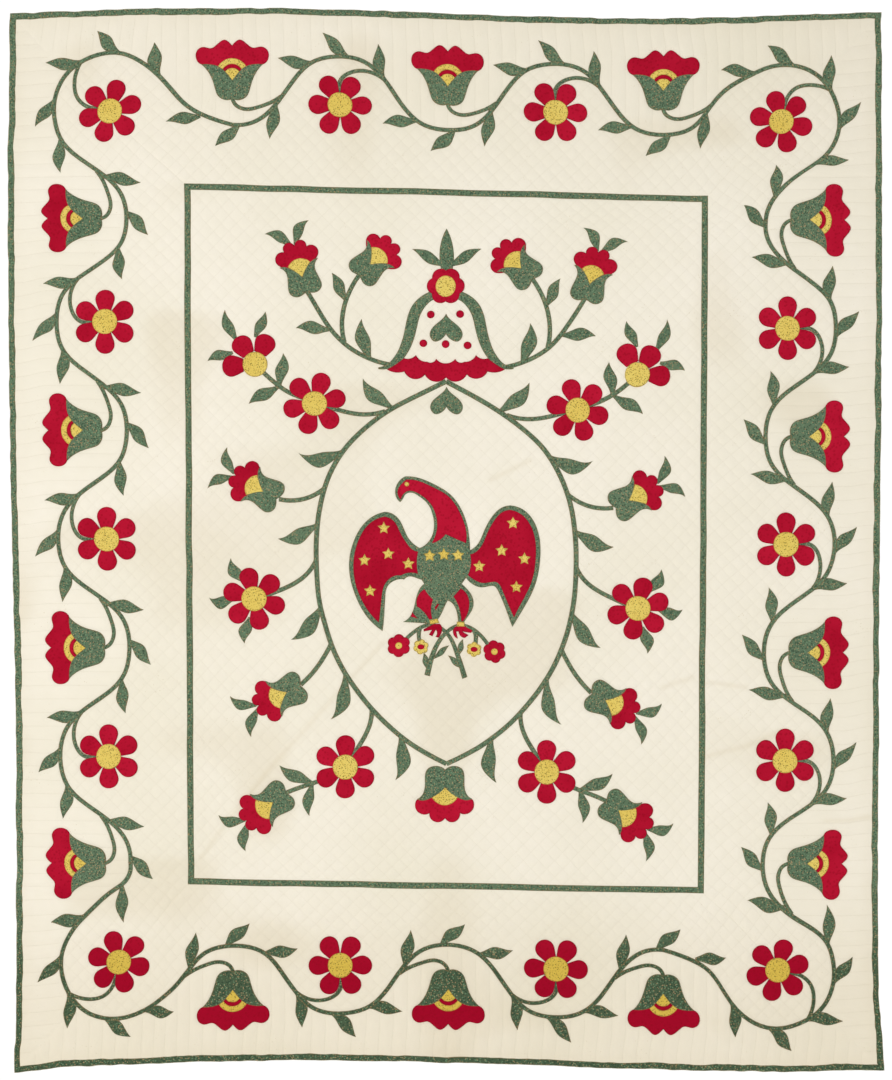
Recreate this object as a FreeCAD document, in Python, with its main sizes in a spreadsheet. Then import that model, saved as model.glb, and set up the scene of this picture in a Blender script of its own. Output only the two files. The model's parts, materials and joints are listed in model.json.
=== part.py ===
import FreeCAD, Part
import math
import os

import Sketcher
from FreeCAD import Vector

# A hand-appliqued bed quilt hung flat on a wall: quilted cloth with a rod pocket on its
# back, a round wooden rod through the pocket, and three steel hook brackets.
# Frame: the wall is the plane y = 0, the quilt faces -Y, +Z is up, and the origin is the
# centre of the outer brackets' screw holes on the wall. Lengths are in millimetres.

os.makedirs("parts", exist_ok=True)
doc = FreeCAD.newDocument("quilt_on_wall_rod")

# ---------------------------------------------------------------- driving dimensions

SIZES = [
    ("quilt_width", 2030, "outer width of the quilt"),
    ("quilt_height", 2460, "outer height of the quilt"),
    ("side_border", 403, "left and right border, with the binding"),
    ("end_border", 410, "top and bottom border, with the binding"),
    ("strip_width", 15, "green strip between centre field and border"),
    ("binding_width", 15, "width of the binding on each face"),
    ("cloth", 0.6, "thickness of one cotton layer"),
    ("loft", 3.2, "thickness of the batting"),
    ("patch", 0.4, "thickness of one appliqued patch"),
    ("rod_radius", 16, "radius of the hanging rod"),
    ("rod_length", 1930, "length of the hanging rod"),
    ("rod_bevel", 2, "chamfer on the rod's ends"),
    ("rod_reach", 36, "distance from the wall to the rod's axis"),
    ("rod_rise", 56, "height of the rod's axis above the screw centre"),
    ("back_gap", 20, "distance from the rod's axis to the quilt's back"),
    ("top_rise", 45, "height of the quilt's top edge above the rod's axis"),
    ("cradle_inner", 16.5, "radius of the bracket's cradle"),
    ("cradle_outer", 19, "outer radius of the bracket's cradle"),
    ("bracket_width", 20, "width of a bracket"),
    ("bracket_reach", 945, "distance from the centre bracket to an outer one"),
    ("plate_thick", 4, "thickness of the bracket's wall plate"),
    ("plate_above", 12, "plate top above the rod's axis"),
    ("plate_below", 88, "plate bottom below the rod's axis"),
    ("arm_thick", 12, "height of the bracket's arm"),
    ("screw_spacing", 36, "distance between the two screw holes of a bracket"),
    ("screw_radius", 2.5, "radius of a screw hole"),
    ("screw_head", 4.5, "radius of the countersink at the plate's face"),
    ("sleeve_start", 40, "sleeve's inner end, from the centre line"),
    ("sleeve_end", 915, "sleeve's outer end, from the centre line"),
    ("sleeve_top", 20, "upper stitch line above the rod's axis"),
    ("sleeve_bottom", 80, "lower stitch line below the rod's axis"),
    ("sleeve_clear", 0.5, "gap between the rod and the sleeve"),
]

sheet = doc.addObject("Spreadsheet::Sheet", "Sizes")
for row, (alias, value, note) in enumerate(SIZES, start=1):
    sheet.set(f"A{row}", alias)
    sheet.set(f"B{row}", str(value))
    sheet.set(f"C{row}", note)
    sheet.setAlias(f"B{row}", alias)
doc.recompute()


def size(alias):
    """The sheet's value for an alias."""
    return float(sheet.get(alias))


def cell(expression):
    """An expression with its aliases turned into references to the sheet."""
    words = sorted((alias for alias, _, _ in SIZES), key=len, reverse=True)
    for number, word in enumerate(words):
        expression = expression.replace(word, f"<{number}>")
    for number, word in enumerate(words):
        expression = expression.replace(f"<{number}>", f"Sizes.{word}")
    return expression


WIDTH = size("quilt_width")
HEIGHT = size("quilt_height")
QUILT_Z = size("rod_rise") + size("top_rise") - HEIGHT / 2
BACK_Y = -size("rod_reach") - size("back_gap")
FRONT_Y = BACK_Y - 2 * size("cloth") - size("loft")

subparts = []


def keep(item, label):
    """Name a finished sub-part and put it on the list to be written."""
    item.Label = label
    subparts.append(item)
    return item


# ---------------------------------------------------------------- PartDesign helpers


def origin_plane(body, role):
    """One of a body's three origin planes."""
    return next(item for item in body.Origin.OriginFeatures if item.Role == role)


def polygon_sketch(body, role, name, corners):
    """A closed sketch whose corners' coordinates are expressions of the sheet."""
    sketch = body.newObject("Sketcher::SketchObject", name)
    sketch.AttachmentSupport = [(origin_plane(body, role), "")]
    sketch.MapMode = "FlatFace"
    probe = doc.addObject("App::FeaturePython", "Probe")
    probe.addProperty("App::PropertyFloat", "Reading")
    points = []
    for corner in corners:
        pair = []
        for expression in corner:
            probe.setExpression("Reading", cell(expression))
            doc.recompute([probe])
            pair.append(probe.Reading)
        points.append(Vector(pair[0], pair[1], 0))
    doc.removeObject(probe.Name)
    count = len(points)
    for index in range(count):
        segment = Part.LineSegment(points[index], points[(index + 1) % count])
        sketch.addGeometry(segment, False)
    for index in range(count):
        joined = Sketcher.Constraint("Coincident", index, 2, (index + 1) % count, 1)
        sketch.addConstraint(joined)
    for index, corner in enumerate(corners):
        for kind, expression, value in (
            ("DistanceX", corner[0], points[index].x),
            ("DistanceY", corner[1], points[index].y),
        ):
            number = sketch.addConstraint(
                Sketcher.Constraint(kind, -1, 1, index, 1, value)
            )
            sketch.setExpression(f"Constraints[{number}]", cell(expression))
    return sketch


def padded(body, sketch, length, midplane=False):
    """A pad of a sketch, its length an expression of the sheet."""
    pad = body.newObject("PartDesign::Pad", f"{sketch.Name}_pad")
    pad.Profile = sketch
    pad.setExpression("Length", cell(length))
    pad.Midplane = midplane
    return pad


def slab(label, corners, back, thickness):
    """A flat panel in the quilt's plane, drawn from the quilt's centre."""
    body = doc.addObject("PartDesign::Body", f"{label}_body")
    sketch = polygon_sketch(body, "XZ_Plane", f"{label}_outline", corners)
    padded(body, sketch, thickness)
    body.Placement.Base = Vector(0, back, QUILT_Z)
    return keep(body, label)


# ---------------------------------------------------------------- brackets and rod


def box(name, length, width, height, x, y, z):
    """A Part box with its sides and corner bound to the sheet."""
    item = doc.addObject("Part::Box", name)
    for field, expression in (
        ("Length", length),
        ("Width", width),
        ("Height", height),
        ("Placement.Base.x", x),
        ("Placement.Base.y", y),
        ("Placement.Base.z", z),
    ):
        item.setExpression(field, cell(expression))
    return item


def crosswise_cylinder(name, radius, length):
    """A cylinder along X on the rod's axis."""
    item = doc.addObject("Part::Cylinder", name)
    item.setExpression("Radius", cell(radius))
    item.setExpression("Height", cell(length))
    item.Placement = FreeCAD.Placement(
        Vector(-size("bracket_width") / 2, -size("rod_reach"), size("rod_rise")),
        FreeCAD.Rotation(Vector(0, 1, 0), 90),
    )
    return item


def screw_hole(name, height):
    """A countersunk hole through the wall plate."""
    outward = FreeCAD.Rotation(Vector(1, 0, 0), 90)
    shank = doc.addObject("Part::Cylinder", f"{name}_shank")
    shank.setExpression("Radius", cell("screw_radius"))
    shank.setExpression("Height", cell("plate_thick"))
    shank.Placement = FreeCAD.Placement(Vector(0, 0, height), outward)
    sink = doc.addObject("Part::Cone", f"{name}_sink")
    sink.setExpression("Radius1", cell("screw_radius"))
    sink.setExpression("Radius2", cell("screw_head"))
    sink.setExpression("Height", cell("screw_head - screw_radius"))
    depth = size("plate_thick") - (size("screw_head") - size("screw_radius"))
    sink.Placement = FreeCAD.Placement(Vector(0, -depth, height), outward)
    return [shank, sink]


def wall_bracket(label, x):
    """A hook: wall plate, arm and an upward-open cradle for the rod."""
    plate = box(
        f"{label}_plate",
        "bracket_width",
        "plate_thick",
        "plate_above + plate_below",
        "-bracket_width / 2",
        "-plate_thick",
        "rod_rise - plate_below",
    )
    arm = box(
        f"{label}_arm",
        "bracket_width",
        "rod_reach - plate_thick",
        "arm_thick",
        "-bracket_width / 2",
        "-rod_reach",
        "rod_rise - cradle_outer",
    )
    ring = crosswise_cylinder(f"{label}_ring", "cradle_outer", "bracket_width")
    solid = doc.addObject("Part::MultiFuse", f"{label}_blank")
    solid.Shapes = [plate, arm, ring]
    bore = crosswise_cylinder(f"{label}_bore", "cradle_inner", "bracket_width")
    mouth = box(
        f"{label}_mouth",
        "bracket_width",
        "2 * cradle_outer",
        "cradle_outer",
        "-bracket_width / 2",
        "-rod_reach - cradle_outer",
        "rod_rise",
    )
    half = size("screw_spacing") / 2
    cutters = [bore, mouth]
    cutters += screw_hole(f"{label}_upper", half)
    cutters += screw_hole(f"{label}_lower", -half)
    tool = doc.addObject("Part::MultiFuse", f"{label}_tool")
    tool.Shapes = cutters
    bracket = doc.addObject("Part::Cut", f"{label}_cut")
    bracket.Base = solid
    bracket.Tool = tool
    bracket.Placement.Base = Vector(x, 0, 0)
    return keep(bracket, label)


wall_bracket("wall_bracket_left", -size("bracket_reach"))
wall_bracket("wall_bracket_centre", 0)
wall_bracket("wall_bracket_right", size("bracket_reach"))


def hanging_rod():
    """The round rod, with a small chamfer on each end."""
    body = doc.addObject("PartDesign::Body", "rod_body")
    sketch = body.newObject("Sketcher::SketchObject", "rod_section")
    sketch.AttachmentSupport = [(origin_plane(body, "YZ_Plane"), "")]
    sketch.MapMode = "FlatFace"
    circle = Part.Circle(Vector(0, 0, 0), Vector(0, 0, 1), size("rod_radius"))
    sketch.addGeometry(circle, False)
    sketch.addConstraint(Sketcher.Constraint("Coincident", 0, 3, -1, 1))
    number = sketch.addConstraint(Sketcher.Constraint("Radius", 0, size("rod_radius")))
    sketch.setExpression(f"Constraints[{number}]", cell("rod_radius"))
    pad = padded(body, sketch, "rod_length", midplane=True)
    doc.recompute()
    rim = []
    for number, edge in enumerate(pad.Shape.Edges, start=1):
        if isinstance(edge.Curve, Part.Circle):
            rim.append(f"Edge{number}")
    bevel = body.newObject("PartDesign::Chamfer", "rod_bevel")
    bevel.Base = (pad, rim)
    bevel.setExpression("Size", cell("rod_bevel"))
    body.Placement.Base = Vector(0, -size("rod_reach"), size("rod_rise"))
    return keep(body, "hanging_rod")


hanging_rod()


# ---------------------------------------------------------------- rod pocket


def tangent_angle(y, z, radius, side):
    """Angle on a circle about the rod where the line from (y, z) touches it."""
    reach = math.hypot(y, z)
    return math.atan2(z, y) + side * math.acos(radius / reach)


def sleeve_boundary(radius, spread):
    """One face of the sleeve's wall: from the upper stitches over the rod to the lower."""
    top = (-size("back_gap"), size("sleeve_top") + spread)
    bottom = (-size("back_gap"), -size("sleeve_bottom") - spread)
    leave = tangent_angle(*top, radius, -1)
    land = tangent_angle(*bottom, radius, 1)
    middle = (leave + land) / 2

    def on_circle(angle):
        return (radius * math.cos(angle), radius * math.sin(angle))

    return [top, on_circle(leave), on_circle(middle), on_circle(land), bottom]


def hanging_sleeve(label, x_start, x_end):
    """Half of the rod pocket: a band of cloth sewn to the backing above and below."""
    inner_radius = size("rod_radius") + size("sleeve_clear")
    outer_radius = inner_radius + size("cloth")
    inner = sleeve_boundary(inner_radius, 0)
    outer = sleeve_boundary(outer_radius, 3 * size("cloth"))

    def spot(pair):
        return Vector(x_start, pair[0] - size("rod_reach"), pair[1] + size("rod_rise"))

    edges = []
    for side in (inner, outer):
        edges.append(Part.LineSegment(spot(side[0]), spot(side[1])).toShape())
        edges.append(Part.Arc(spot(side[1]), spot(side[2]), spot(side[3])).toShape())
        edges.append(Part.LineSegment(spot(side[3]), spot(side[4])).toShape())
    edges.append(Part.LineSegment(spot(inner[0]), spot(outer[0])).toShape())
    edges.append(Part.LineSegment(spot(inner[4]), spot(outer[4])).toShape())
    section = Part.Face(Part.Wire(Part.__sortEdges__(edges)))
    feature = doc.addObject("Part::Feature", f"{label}_band")
    feature.Shape = section.extrude(Vector(x_end - x_start, 0, 0))
    return keep(feature, label)


hanging_sleeve("hanging_sleeve_left", -size("sleeve_end"), -size("sleeve_start"))
hanging_sleeve("hanging_sleeve_right", size("sleeve_start"), size("sleeve_end"))


# ---------------------------------------------------------------- quilt sandwich

X_EDGE = "quilt_width / 2"
Z_EDGE = "quilt_height / 2"
X_BORDER = "(quilt_width / 2 - side_border)"
Z_BORDER = "(quilt_height / 2 - end_border)"
X_FIELD = "(quilt_width / 2 - side_border - strip_width)"
Z_FIELD = "(quilt_height / 2 - end_border - strip_width)"
BACKING_SEAM = "quilt_width / 6"


def rectangle(left, bottom, right, top):
    """Corners of a rectangle for a sketch."""
    return [(left, bottom), (right, bottom), (right, top), (left, top)]


def mitred_sides(inner_x, inner_z, outer_x, outer_z):
    """Four mitred strips round a rectangle, clockwise from the top."""
    return {
        "top": [
            (f"-{outer_x}", outer_z),
            (f"-{inner_x}", inner_z),
            (inner_x, inner_z),
            (outer_x, outer_z),
        ],
        "right": [
            (outer_x, outer_z),
            (inner_x, inner_z),
            (inner_x, f"-{inner_z}"),
            (outer_x, f"-{outer_z}"),
        ],
        "bottom": [
            (outer_x, f"-{outer_z}"),
            (inner_x, f"-{inner_z}"),
            (f"-{inner_x}", f"-{inner_z}"),
            (f"-{outer_x}", f"-{outer_z}"),
        ],
        "left": [
            (f"-{outer_x}", f"-{outer_z}"),
            (f"-{inner_x}", f"-{inner_z}"),
            (f"-{inner_x}", inner_z),
            (f"-{outer_x}", outer_z),
        ],
    }


def quilt_layers():
    """Backing in three loom widths, batting, and the pieced top."""
    seams = [f"-{X_EDGE}", f"-{BACKING_SEAM}", BACKING_SEAM, X_EDGE]
    for index, place in enumerate(("left", "centre", "right")):
        corners = rectangle(seams[index], f"-{Z_EDGE}", seams[index + 1], Z_EDGE)
        slab(f"backing_{place}", corners, BACK_Y, "cloth")
    whole = rectangle(f"-{X_EDGE}", f"-{Z_EDGE}", X_EDGE, Z_EDGE)
    slab("batting", whole, BACK_Y - size("cloth"), "loft")
    top_back = BACK_Y - size("cloth") - size("loft")
    field = rectangle(f"-{X_FIELD}", f"-{Z_FIELD}", X_FIELD, Z_FIELD)
    slab("centre_field", field, top_back, "cloth")
    strips = mitred_sides(X_FIELD, Z_FIELD, X_BORDER, Z_BORDER)
    for place, corners in strips.items():
        slab(f"frame_strip_{place}", corners, top_back, "cloth")
    borders = mitred_sides(X_BORDER, Z_BORDER, f"({X_EDGE})", f"({Z_EDGE})")
    for place, corners in borders.items():
        slab(f"border_{place}", corners, top_back, "cloth")


quilt_layers()


def binding(place, turn, half_length):
    """One side of the folded binding: a channel over the raw edge, mitred at its ends."""
    body = doc.addObject("PartDesign::Body", f"binding_{place}_body")
    stack = "(loft + 2 * cloth)"
    section = [
        ("cloth", "-binding_width"),
        ("cloth", "cloth"),
        (f"-{stack} - cloth", "cloth"),
        (f"-{stack} - cloth", "-binding_width"),
        (f"-{stack}", "-binding_width"),
        (f"-{stack}", "0"),
        ("0", "0"),
        ("0", "-binding_width"),
    ]
    sketch = polygon_sketch(body, "YZ_Plane", f"binding_{place}_section", section)
    padded(body, sketch, f"2 * {half_length} + 2 * cloth", midplane=True)
    doc.recompute()
    for name, sign in (("start", "-"), ("end", "")):
        corner = f"{sign}({half_length} + cloth)"
        inward = f"{sign}({half_length} - binding_width)"
        wedge = polygon_sketch(
            body,
            "XZ_Plane",
            f"binding_{place}_{name}",
            [(corner, "cloth"), (inward, "-binding_width"), (corner, "-binding_width")],
        )
        cut = body.newObject("PartDesign::Pocket", f"binding_{place}_{name}_cut")
        cut.Profile = wedge
        cut.Type = "ThroughAll"
        cut.Midplane = True
        doc.recompute()
    turned = FreeCAD.Rotation(Vector(0, 1, 0), turn)
    outward = turned.multVec(Vector(0, 0, 1))
    reach = Vector(outward.x * WIDTH / 2, 0, outward.z * HEIGHT / 2)
    body.Placement = FreeCAD.Placement(reach + Vector(0, BACK_Y, QUILT_Z), turned)
    return keep(body, f"binding_{place}")


for number, place in enumerate(("top", "right", "bottom", "left")):
    binding(place, 90 * number, X_EDGE if number % 2 == 0 else Z_EDGE)


# ---------------------------------------------------------------- applique helpers
# A patch is drawn in the quilt's plane as a chain of runs. A run of two points is a
# straight edge, a run of three is an arc and a longer one is a smooth curve. Each run
# starts where the last one ends. Coordinates are x to the right and z up from the
# quilt's centre, or a motif's own pair before it is placed.


def place_runs(runs, x, z, angle=0, flip=1):
    """Move a motif's runs: mirror across its own axis, turn by degrees, then shift."""
    cosine = math.cos(math.radians(angle))
    sine = math.sin(math.radians(angle))
    moved = []
    for run in runs:
        turned = []
        for u, v in run:
            u = flip * u
            turned.append((x + cosine * u - sine * v, z + sine * u + cosine * v))
        moved.append(turned)
    return moved


def edge_of(run):
    """The edge that a run describes."""
    points = [Vector(x, 0, z) for x, z in run]
    if len(points) == 2:
        return Part.LineSegment(points[0], points[1]).toShape()
    if len(points) == 3:
        return Part.Arc(points[0], points[1], points[2]).toShape()
    curve = Part.BSplineCurve()
    curve.interpolate(points)
    return curve.toShape()


def flat_face(runs):
    """The plane face inside a closed chain of runs."""
    edges = [edge_of(run) for run in runs]
    start = Vector(runs[0][0][0], 0, runs[0][0][1])
    last = Vector(runs[-1][-1][0], 0, runs[-1][-1][1])
    if start.distanceToPoint(last) > 1e-6:
        edges.append(Part.LineSegment(last, start).toShape())
    return Part.Face(Part.Wire(edges))


def patch(runs, layer):
    """A patch of cloth, raised by its place in the stack of applique."""
    thickness = size("patch")
    solid = flat_face(runs).extrude(Vector(0, -thickness, 0))
    solid.translate(Vector(0, FRONT_Y - layer * thickness, QUILT_Z))
    return solid


def round_patch(x, z, radius, layer, radius_z=None):
    """A round or upright oval patch."""
    tall = radius_z or radius
    arcs = [
        [(x - radius, z), (x, z + tall), (x + radius, z)],
        [(x + radius, z), (x, z - tall), (x - radius, z)],
    ]
    if tall == radius:
        return patch(arcs, layer)
    ends = [Vector(x, 0, z + tall), Vector(x + radius, 0, z)]
    if radius > tall:
        ends.reverse()
    oval = Part.Ellipse(ends[0], ends[1], Vector(x, 0, z))
    solid = Part.Face(Part.Wire(oval.toShape())).extrude(Vector(0, -size("patch"), 0))
    solid.translate(Vector(0, FRONT_Y - layer * size("patch"), QUILT_Z))
    return solid


def applique(label, solids):
    """One node of patches; patches cut from one piece of cloth are joined."""
    joined = solids[0]
    if len(solids) > 1:
        joined = solids[0].multiFuse(solids[1:]).removeSplitter()
    feature = doc.addObject("Part::Feature", f"{label}_patches")
    feature.Shape = Part.makeCompound(joined.Solids)
    return keep(feature, label)


def ribbon(points, widths):
    """A strip of cloth along a smooth line; its width runs evenly through the list."""
    centre = Part.BSplineCurve()
    centre.interpolate([Vector(x, 0, z) for x, z in points])
    steps = 3 * (len(points) - 1)
    left = []
    right = []
    for step in range(steps + 1):
        share = step / steps
        parameter = centre.parameterAtDistance(share * centre.length())
        spot = centre.value(parameter)
        along = centre.tangent(parameter)[0]
        slot = share * (len(widths) - 1)
        low = min(int(slot), len(widths) - 2) if len(widths) > 1 else 0
        high = min(low + 1, len(widths) - 1)
        width = widths[low] + (slot - low) * (widths[high] - widths[low])
        left.append((spot.x - along.z * width / 2, spot.z + along.x * width / 2))
        right.append((spot.x + along.z * width / 2, spot.z - along.x * width / 2))
    right.reverse()
    return [left, [left[-1], right[0]], right]


# ---------------------------------------------------------------- motifs

STEM_WIDTH = 9
VINE_WIDTH = 10
WREATH_STEM_WIDTH = 10.5
OVAL_WIDTH = 11.5
LEAF_WIDTH = 31
SMALL_LEAF_WIDTH = 27
CENTRE_RADIUS = 29


def leaf(base, tip, bow=0, hand=1, width=LEAF_WIDTH):
    """A leaf from its base to its tip: bow is how far its middle stands to the left of
    the straight line between them, and hand is the side that stays full near the tip."""
    length = math.hypot(tip[0] - base[0], tip[1] - base[1])
    angle = math.degrees(math.atan2(tip[1] - base[1], tip[0] - base[0]))
    full = [(0, 0.13), (0.22, 0.24), (0.55, 0.50), (0.83, 0.27), (1, 0)]
    hollow = [(1, 0), (0.78, -0.17), (0.45, -0.48), (0.18, -0.30), (0, -0.13)]
    runs = []
    for side in (full, hollow):
        run = []
        for share, rise in side:
            shift = 4 * share * (1 - share) * bow
            run.append((share * length, hand * rise * width + shift))
        runs.append(run)
    return place_runs(runs, base[0], base[1], angle)


def petal(direction, x, z, inner=25, tip=74, half_width=22):
    """One petal of the open flower, its root under the flower's centre."""
    belly = inner + 0.62 * (tip - inner)
    side = [
        (inner, 0.62 * half_width),
        (inner + 0.3 * (tip - inner), 0.88 * half_width),
        (belly, half_width),
        (inner + 0.88 * (tip - inner), 0.7 * half_width),
        (tip, 0),
    ]
    other = [(u, -v) for u, v in reversed(side)]
    return place_runs([side + other[1:]], x, z, direction)


def tulip_petals():
    """The tulip's red head: two round outer lobes and two pointed inner ones."""
    half = [(72, 83), (84, 101), (79, 118), (66, 124), (49, 121), (32, 132), (17, 140)]
    half = half + [(7, 134), (0, 126)]
    mirror = [(-u, v) for u, v in reversed(half)]
    return [half, mirror, [(-72, 83), (-34, 70)], [(-34, 70), (34, 70)], [(34, 70), (72, 83)]]


def tulip_arc(outer, inner):
    """A curved band across the tulip's throat, from chord ends and crown heights."""
    (out_u, out_v, out_top) = outer
    (in_u, in_v, in_top) = inner
    return [
        [(-out_u, out_v), (0, out_top), (out_u, out_v)],
        [(out_u, out_v), (in_u, in_v)],
        [(in_u, in_v), (0, in_top), (-in_u, in_v)],
    ]


def tulip_fan():
    """The wedge at the tulip's throat."""
    return [[(0, 42), (-18, 64)], [(-18, 64), (0, 73), (18, 64)], [(18, 64), (0, 42)]]


def cup(outside, throat):
    """A symmetric calyx from its right outer side and its right inner edge."""
    left_out = [(-u, v) for u, v in reversed(outside)]
    left_in = [(-u, v) for u, v in reversed(throat)]
    return [outside, throat, left_in, left_out]


def tulip_cup():
    """The tulip's green calyx."""
    outside = [(0, 2), (8, -1), (20, 0), (33, 8), (41, 26), (47, 46), (56, 65), (71, 83)]
    throat = [(71, 83), (52, 83), (31, 77), (16, 65), (0, 45)]
    return cup(outside, throat)


def bud_petals():
    """The bud's red head of four round lobes."""
    return [
        [(46, 74), (51, 92), (27, 103)],
        [(27, 103), (19, 121), (0, 112)],
        [(0, 112), (-19, 121), (-27, 103)],
        [(-27, 103), (-51, 92), (-46, 74)],
        [(-46, 74), (-26, 60), (26, 60), (46, 74)],
    ]


def bud_fan():
    """The yellow fan in the bud's throat."""
    return [[(0, 34), (-27, 66)], [(-27, 66), (0, 80), (27, 66)], [(27, 66), (0, 34)]]


def bud_cup():
    """The bud's green calyx."""
    outside = [(0, 0), (10, -5), (24, -7), (38, 3), (39, 20), (34, 44), (47, 70)]
    throat = [(47, 70), (35, 69), (24, 63), (10, 50), (0, 36)]
    return cup(outside, throat)


def drop_petals():
    """The red head of the tulip that hangs from the oval wreath."""
    return [
        [(66, 70), (62, 98), (36, 101)],
        [(36, 101), (22, 121), (0, 112)],
        [(0, 112), (-22, 121), (-36, 101)],
        [(-36, 101), (-62, 98), (-66, 70)],
        [(-66, 70), (-30, 60), (30, 60), (66, 70)],
    ]


def drop_cup():
    """The calyx of the tulip that hangs from the oval wreath."""
    outside = [(0, 0), (10, -7), (22, -9), (40, -2), (46, 14), (46, 34), (50, 54), (65, 68)]
    throat = [(65, 68), (47, 71), (29, 64), (14, 55), (0, 42)]
    return cup(outside, throat)


def drop_fan():
    """The yellow fan of the tulip that hangs from the oval wreath."""
    return [[(0, 40), (-31, 63)], [(-31, 63), (0, 82), (31, 63)], [(31, 63), (0, 40)]]


def heart():
    """A heart standing on its lobes, its point up at the origin."""
    half = [(0, 0), (16, -19), (34, -36), (38, -50), (27, -65), (12, -61), (0, -47)]
    return [half, [(-u, v) for u, v in reversed(half)]]


def rosette(radius, waist, lobes, start=0):
    """A small flower with round lobes, cut as one piece."""
    runs = []
    step = 2 * math.pi / lobes
    for index in range(lobes):
        middle = math.radians(start) + index * step
        spots = []
        for shift, reach in ((-0.5, waist), (0, radius), (0.5, waist)):
            angle = middle + shift * step
            spots.append((reach * math.cos(angle), reach * math.sin(angle)))
        runs.append(spots)
    return runs


def star(radius):
    """A blunt five-pointed star, one point up."""
    points = []
    for index in range(10):
        reach = radius if index % 2 == 0 else 0.52 * radius
        angle = math.radians(90 + 36 * index)
        points.append((reach * math.cos(angle), reach * math.sin(angle)))
    points.append(points[0])
    return [list(pair) for pair in zip(points, points[1:])]


# ---------------------------------------------------------------- running border
# Each side carries a row of units, one tulip and one open flower, going clockwise. A
# unit's coordinates are (along, depth): along the side from the tulip, and inward from
# the outer edge. The vine swings in under each tulip and out round each flower.

TULIPS = (3, 4, 3, 4)
PITCH = 500
TROUGH_DEPTH = 274
CREST_DEPTH = 111
TULIP_DEPTH = 216
FLOWER_DEPTH = 224
CORNER_FLOWER = (238, 243)
CORNER_START = -15
SIDE_DROP = 8
SIDES = (
    (0, HEIGHT / 2),
    (WIDTH / 2, -SIDE_DROP),
    (0, -HEIGHT / 2),
    (-WIDTH / 2, -SIDE_DROP),
)
CORNERS = (
    (WIDTH / 2, HEIGHT / 2),
    (WIDTH / 2, -HEIGHT / 2),
    (-WIDTH / 2, -HEIGHT / 2),
    (-WIDTH / 2, HEIGHT / 2),
)
TULIP_STEM = ((113, 206), (89, 221), (63, 231), (30, 237), (9, 229), (0, 213))
FLOWER_STEM = ((101, -63), (66, -80), (32, -79), (6, -64), (1, -30))
CORNER_STEM = ((116, -69), (92, -80), (64, -84), (34, -77), (14, -56), (8, -27))
TROUGH_LEAVES = (
    ((-73, 254), (-151, 264), -2),
    ((16, 272), (-40, 324), 3),
    ((99, 222), (86, 308), 2),
)
FIRST_UPRIGHT_LEAF = ((-52, 251), (-138, 250), -2)
CREST_LEAVES = (
    ((189, 126), (105, 118), 5),
    ((271, 113), (211, 55), 4),
    ((352, 160), (339, 79), 5),
)
CORNER_LEAVES = (
    ((299, 127), (378, 123), -3),
    ((206, 114), (268, 66), 0),
    ((121, 176), (119, 92), 5),
    ((104, 266), (49, 207), 4),
    ((160, 351), (79, 341), 5),
)
CORNER_BEND = (
    (305, 131),
    (258, 114),
    (203, 114),
    (146, 143),
    (115, 189),
    (103, 264),
    (129, 320),
    (172, 361),
    (222, 402),
)
BEND_END = (-40, 262)


def on_side(side, along, depth):
    """A point of a side's own pair in the quilt's plane."""
    middle = SIDES[side]
    return place_runs([[(along, -depth)]], middle[0], middle[1], -90 * side)[0][0]


def on_corner(corner, past, depth):
    """A point near a corner: distances from the next side's edge and from this one's."""
    spot = CORNERS[corner]
    return place_runs([[(-past, -depth)]], spot[0], spot[1], -90 * corner)[0][0]


def vine_depth(along):
    """Depth of the vine's centre line at a distance from a tulip."""
    phase = 2 * math.pi * along / PITCH
    wave = (math.cos(phase) - 0.08 * math.cos(3 * phase)) / 0.92
    middle = (TROUGH_DEPTH + CREST_DEPTH) / 2
    return middle + wave * (TROUGH_DEPTH - CREST_DEPTH) / 2


def tulip_spots(side):
    """Where a side's tulips stand along it."""
    count = TULIPS[side]
    return [PITCH * (index - (count - 1) / 2) for index in range(count)]


def vine_line(side):
    """The vine's centre line on one side, from its first tulip round the next corner."""
    samples = 8
    spots = tulip_spots(side)
    line = []
    for step in range(samples * (len(spots) - 1) + 3):
        along = step * PITCH / samples
        line.append(on_side(side, spots[0] + along, vine_depth(along)))
    line += [on_corner(side, past, depth) for past, depth in CORNER_BEND]
    following = (side + 1) % 4
    first = tulip_spots(following)[0]
    line.append(on_side(following, first + BEND_END[0], BEND_END[1]))
    line.append(on_side(following, first, TROUGH_DEPTH))
    return line


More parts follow.
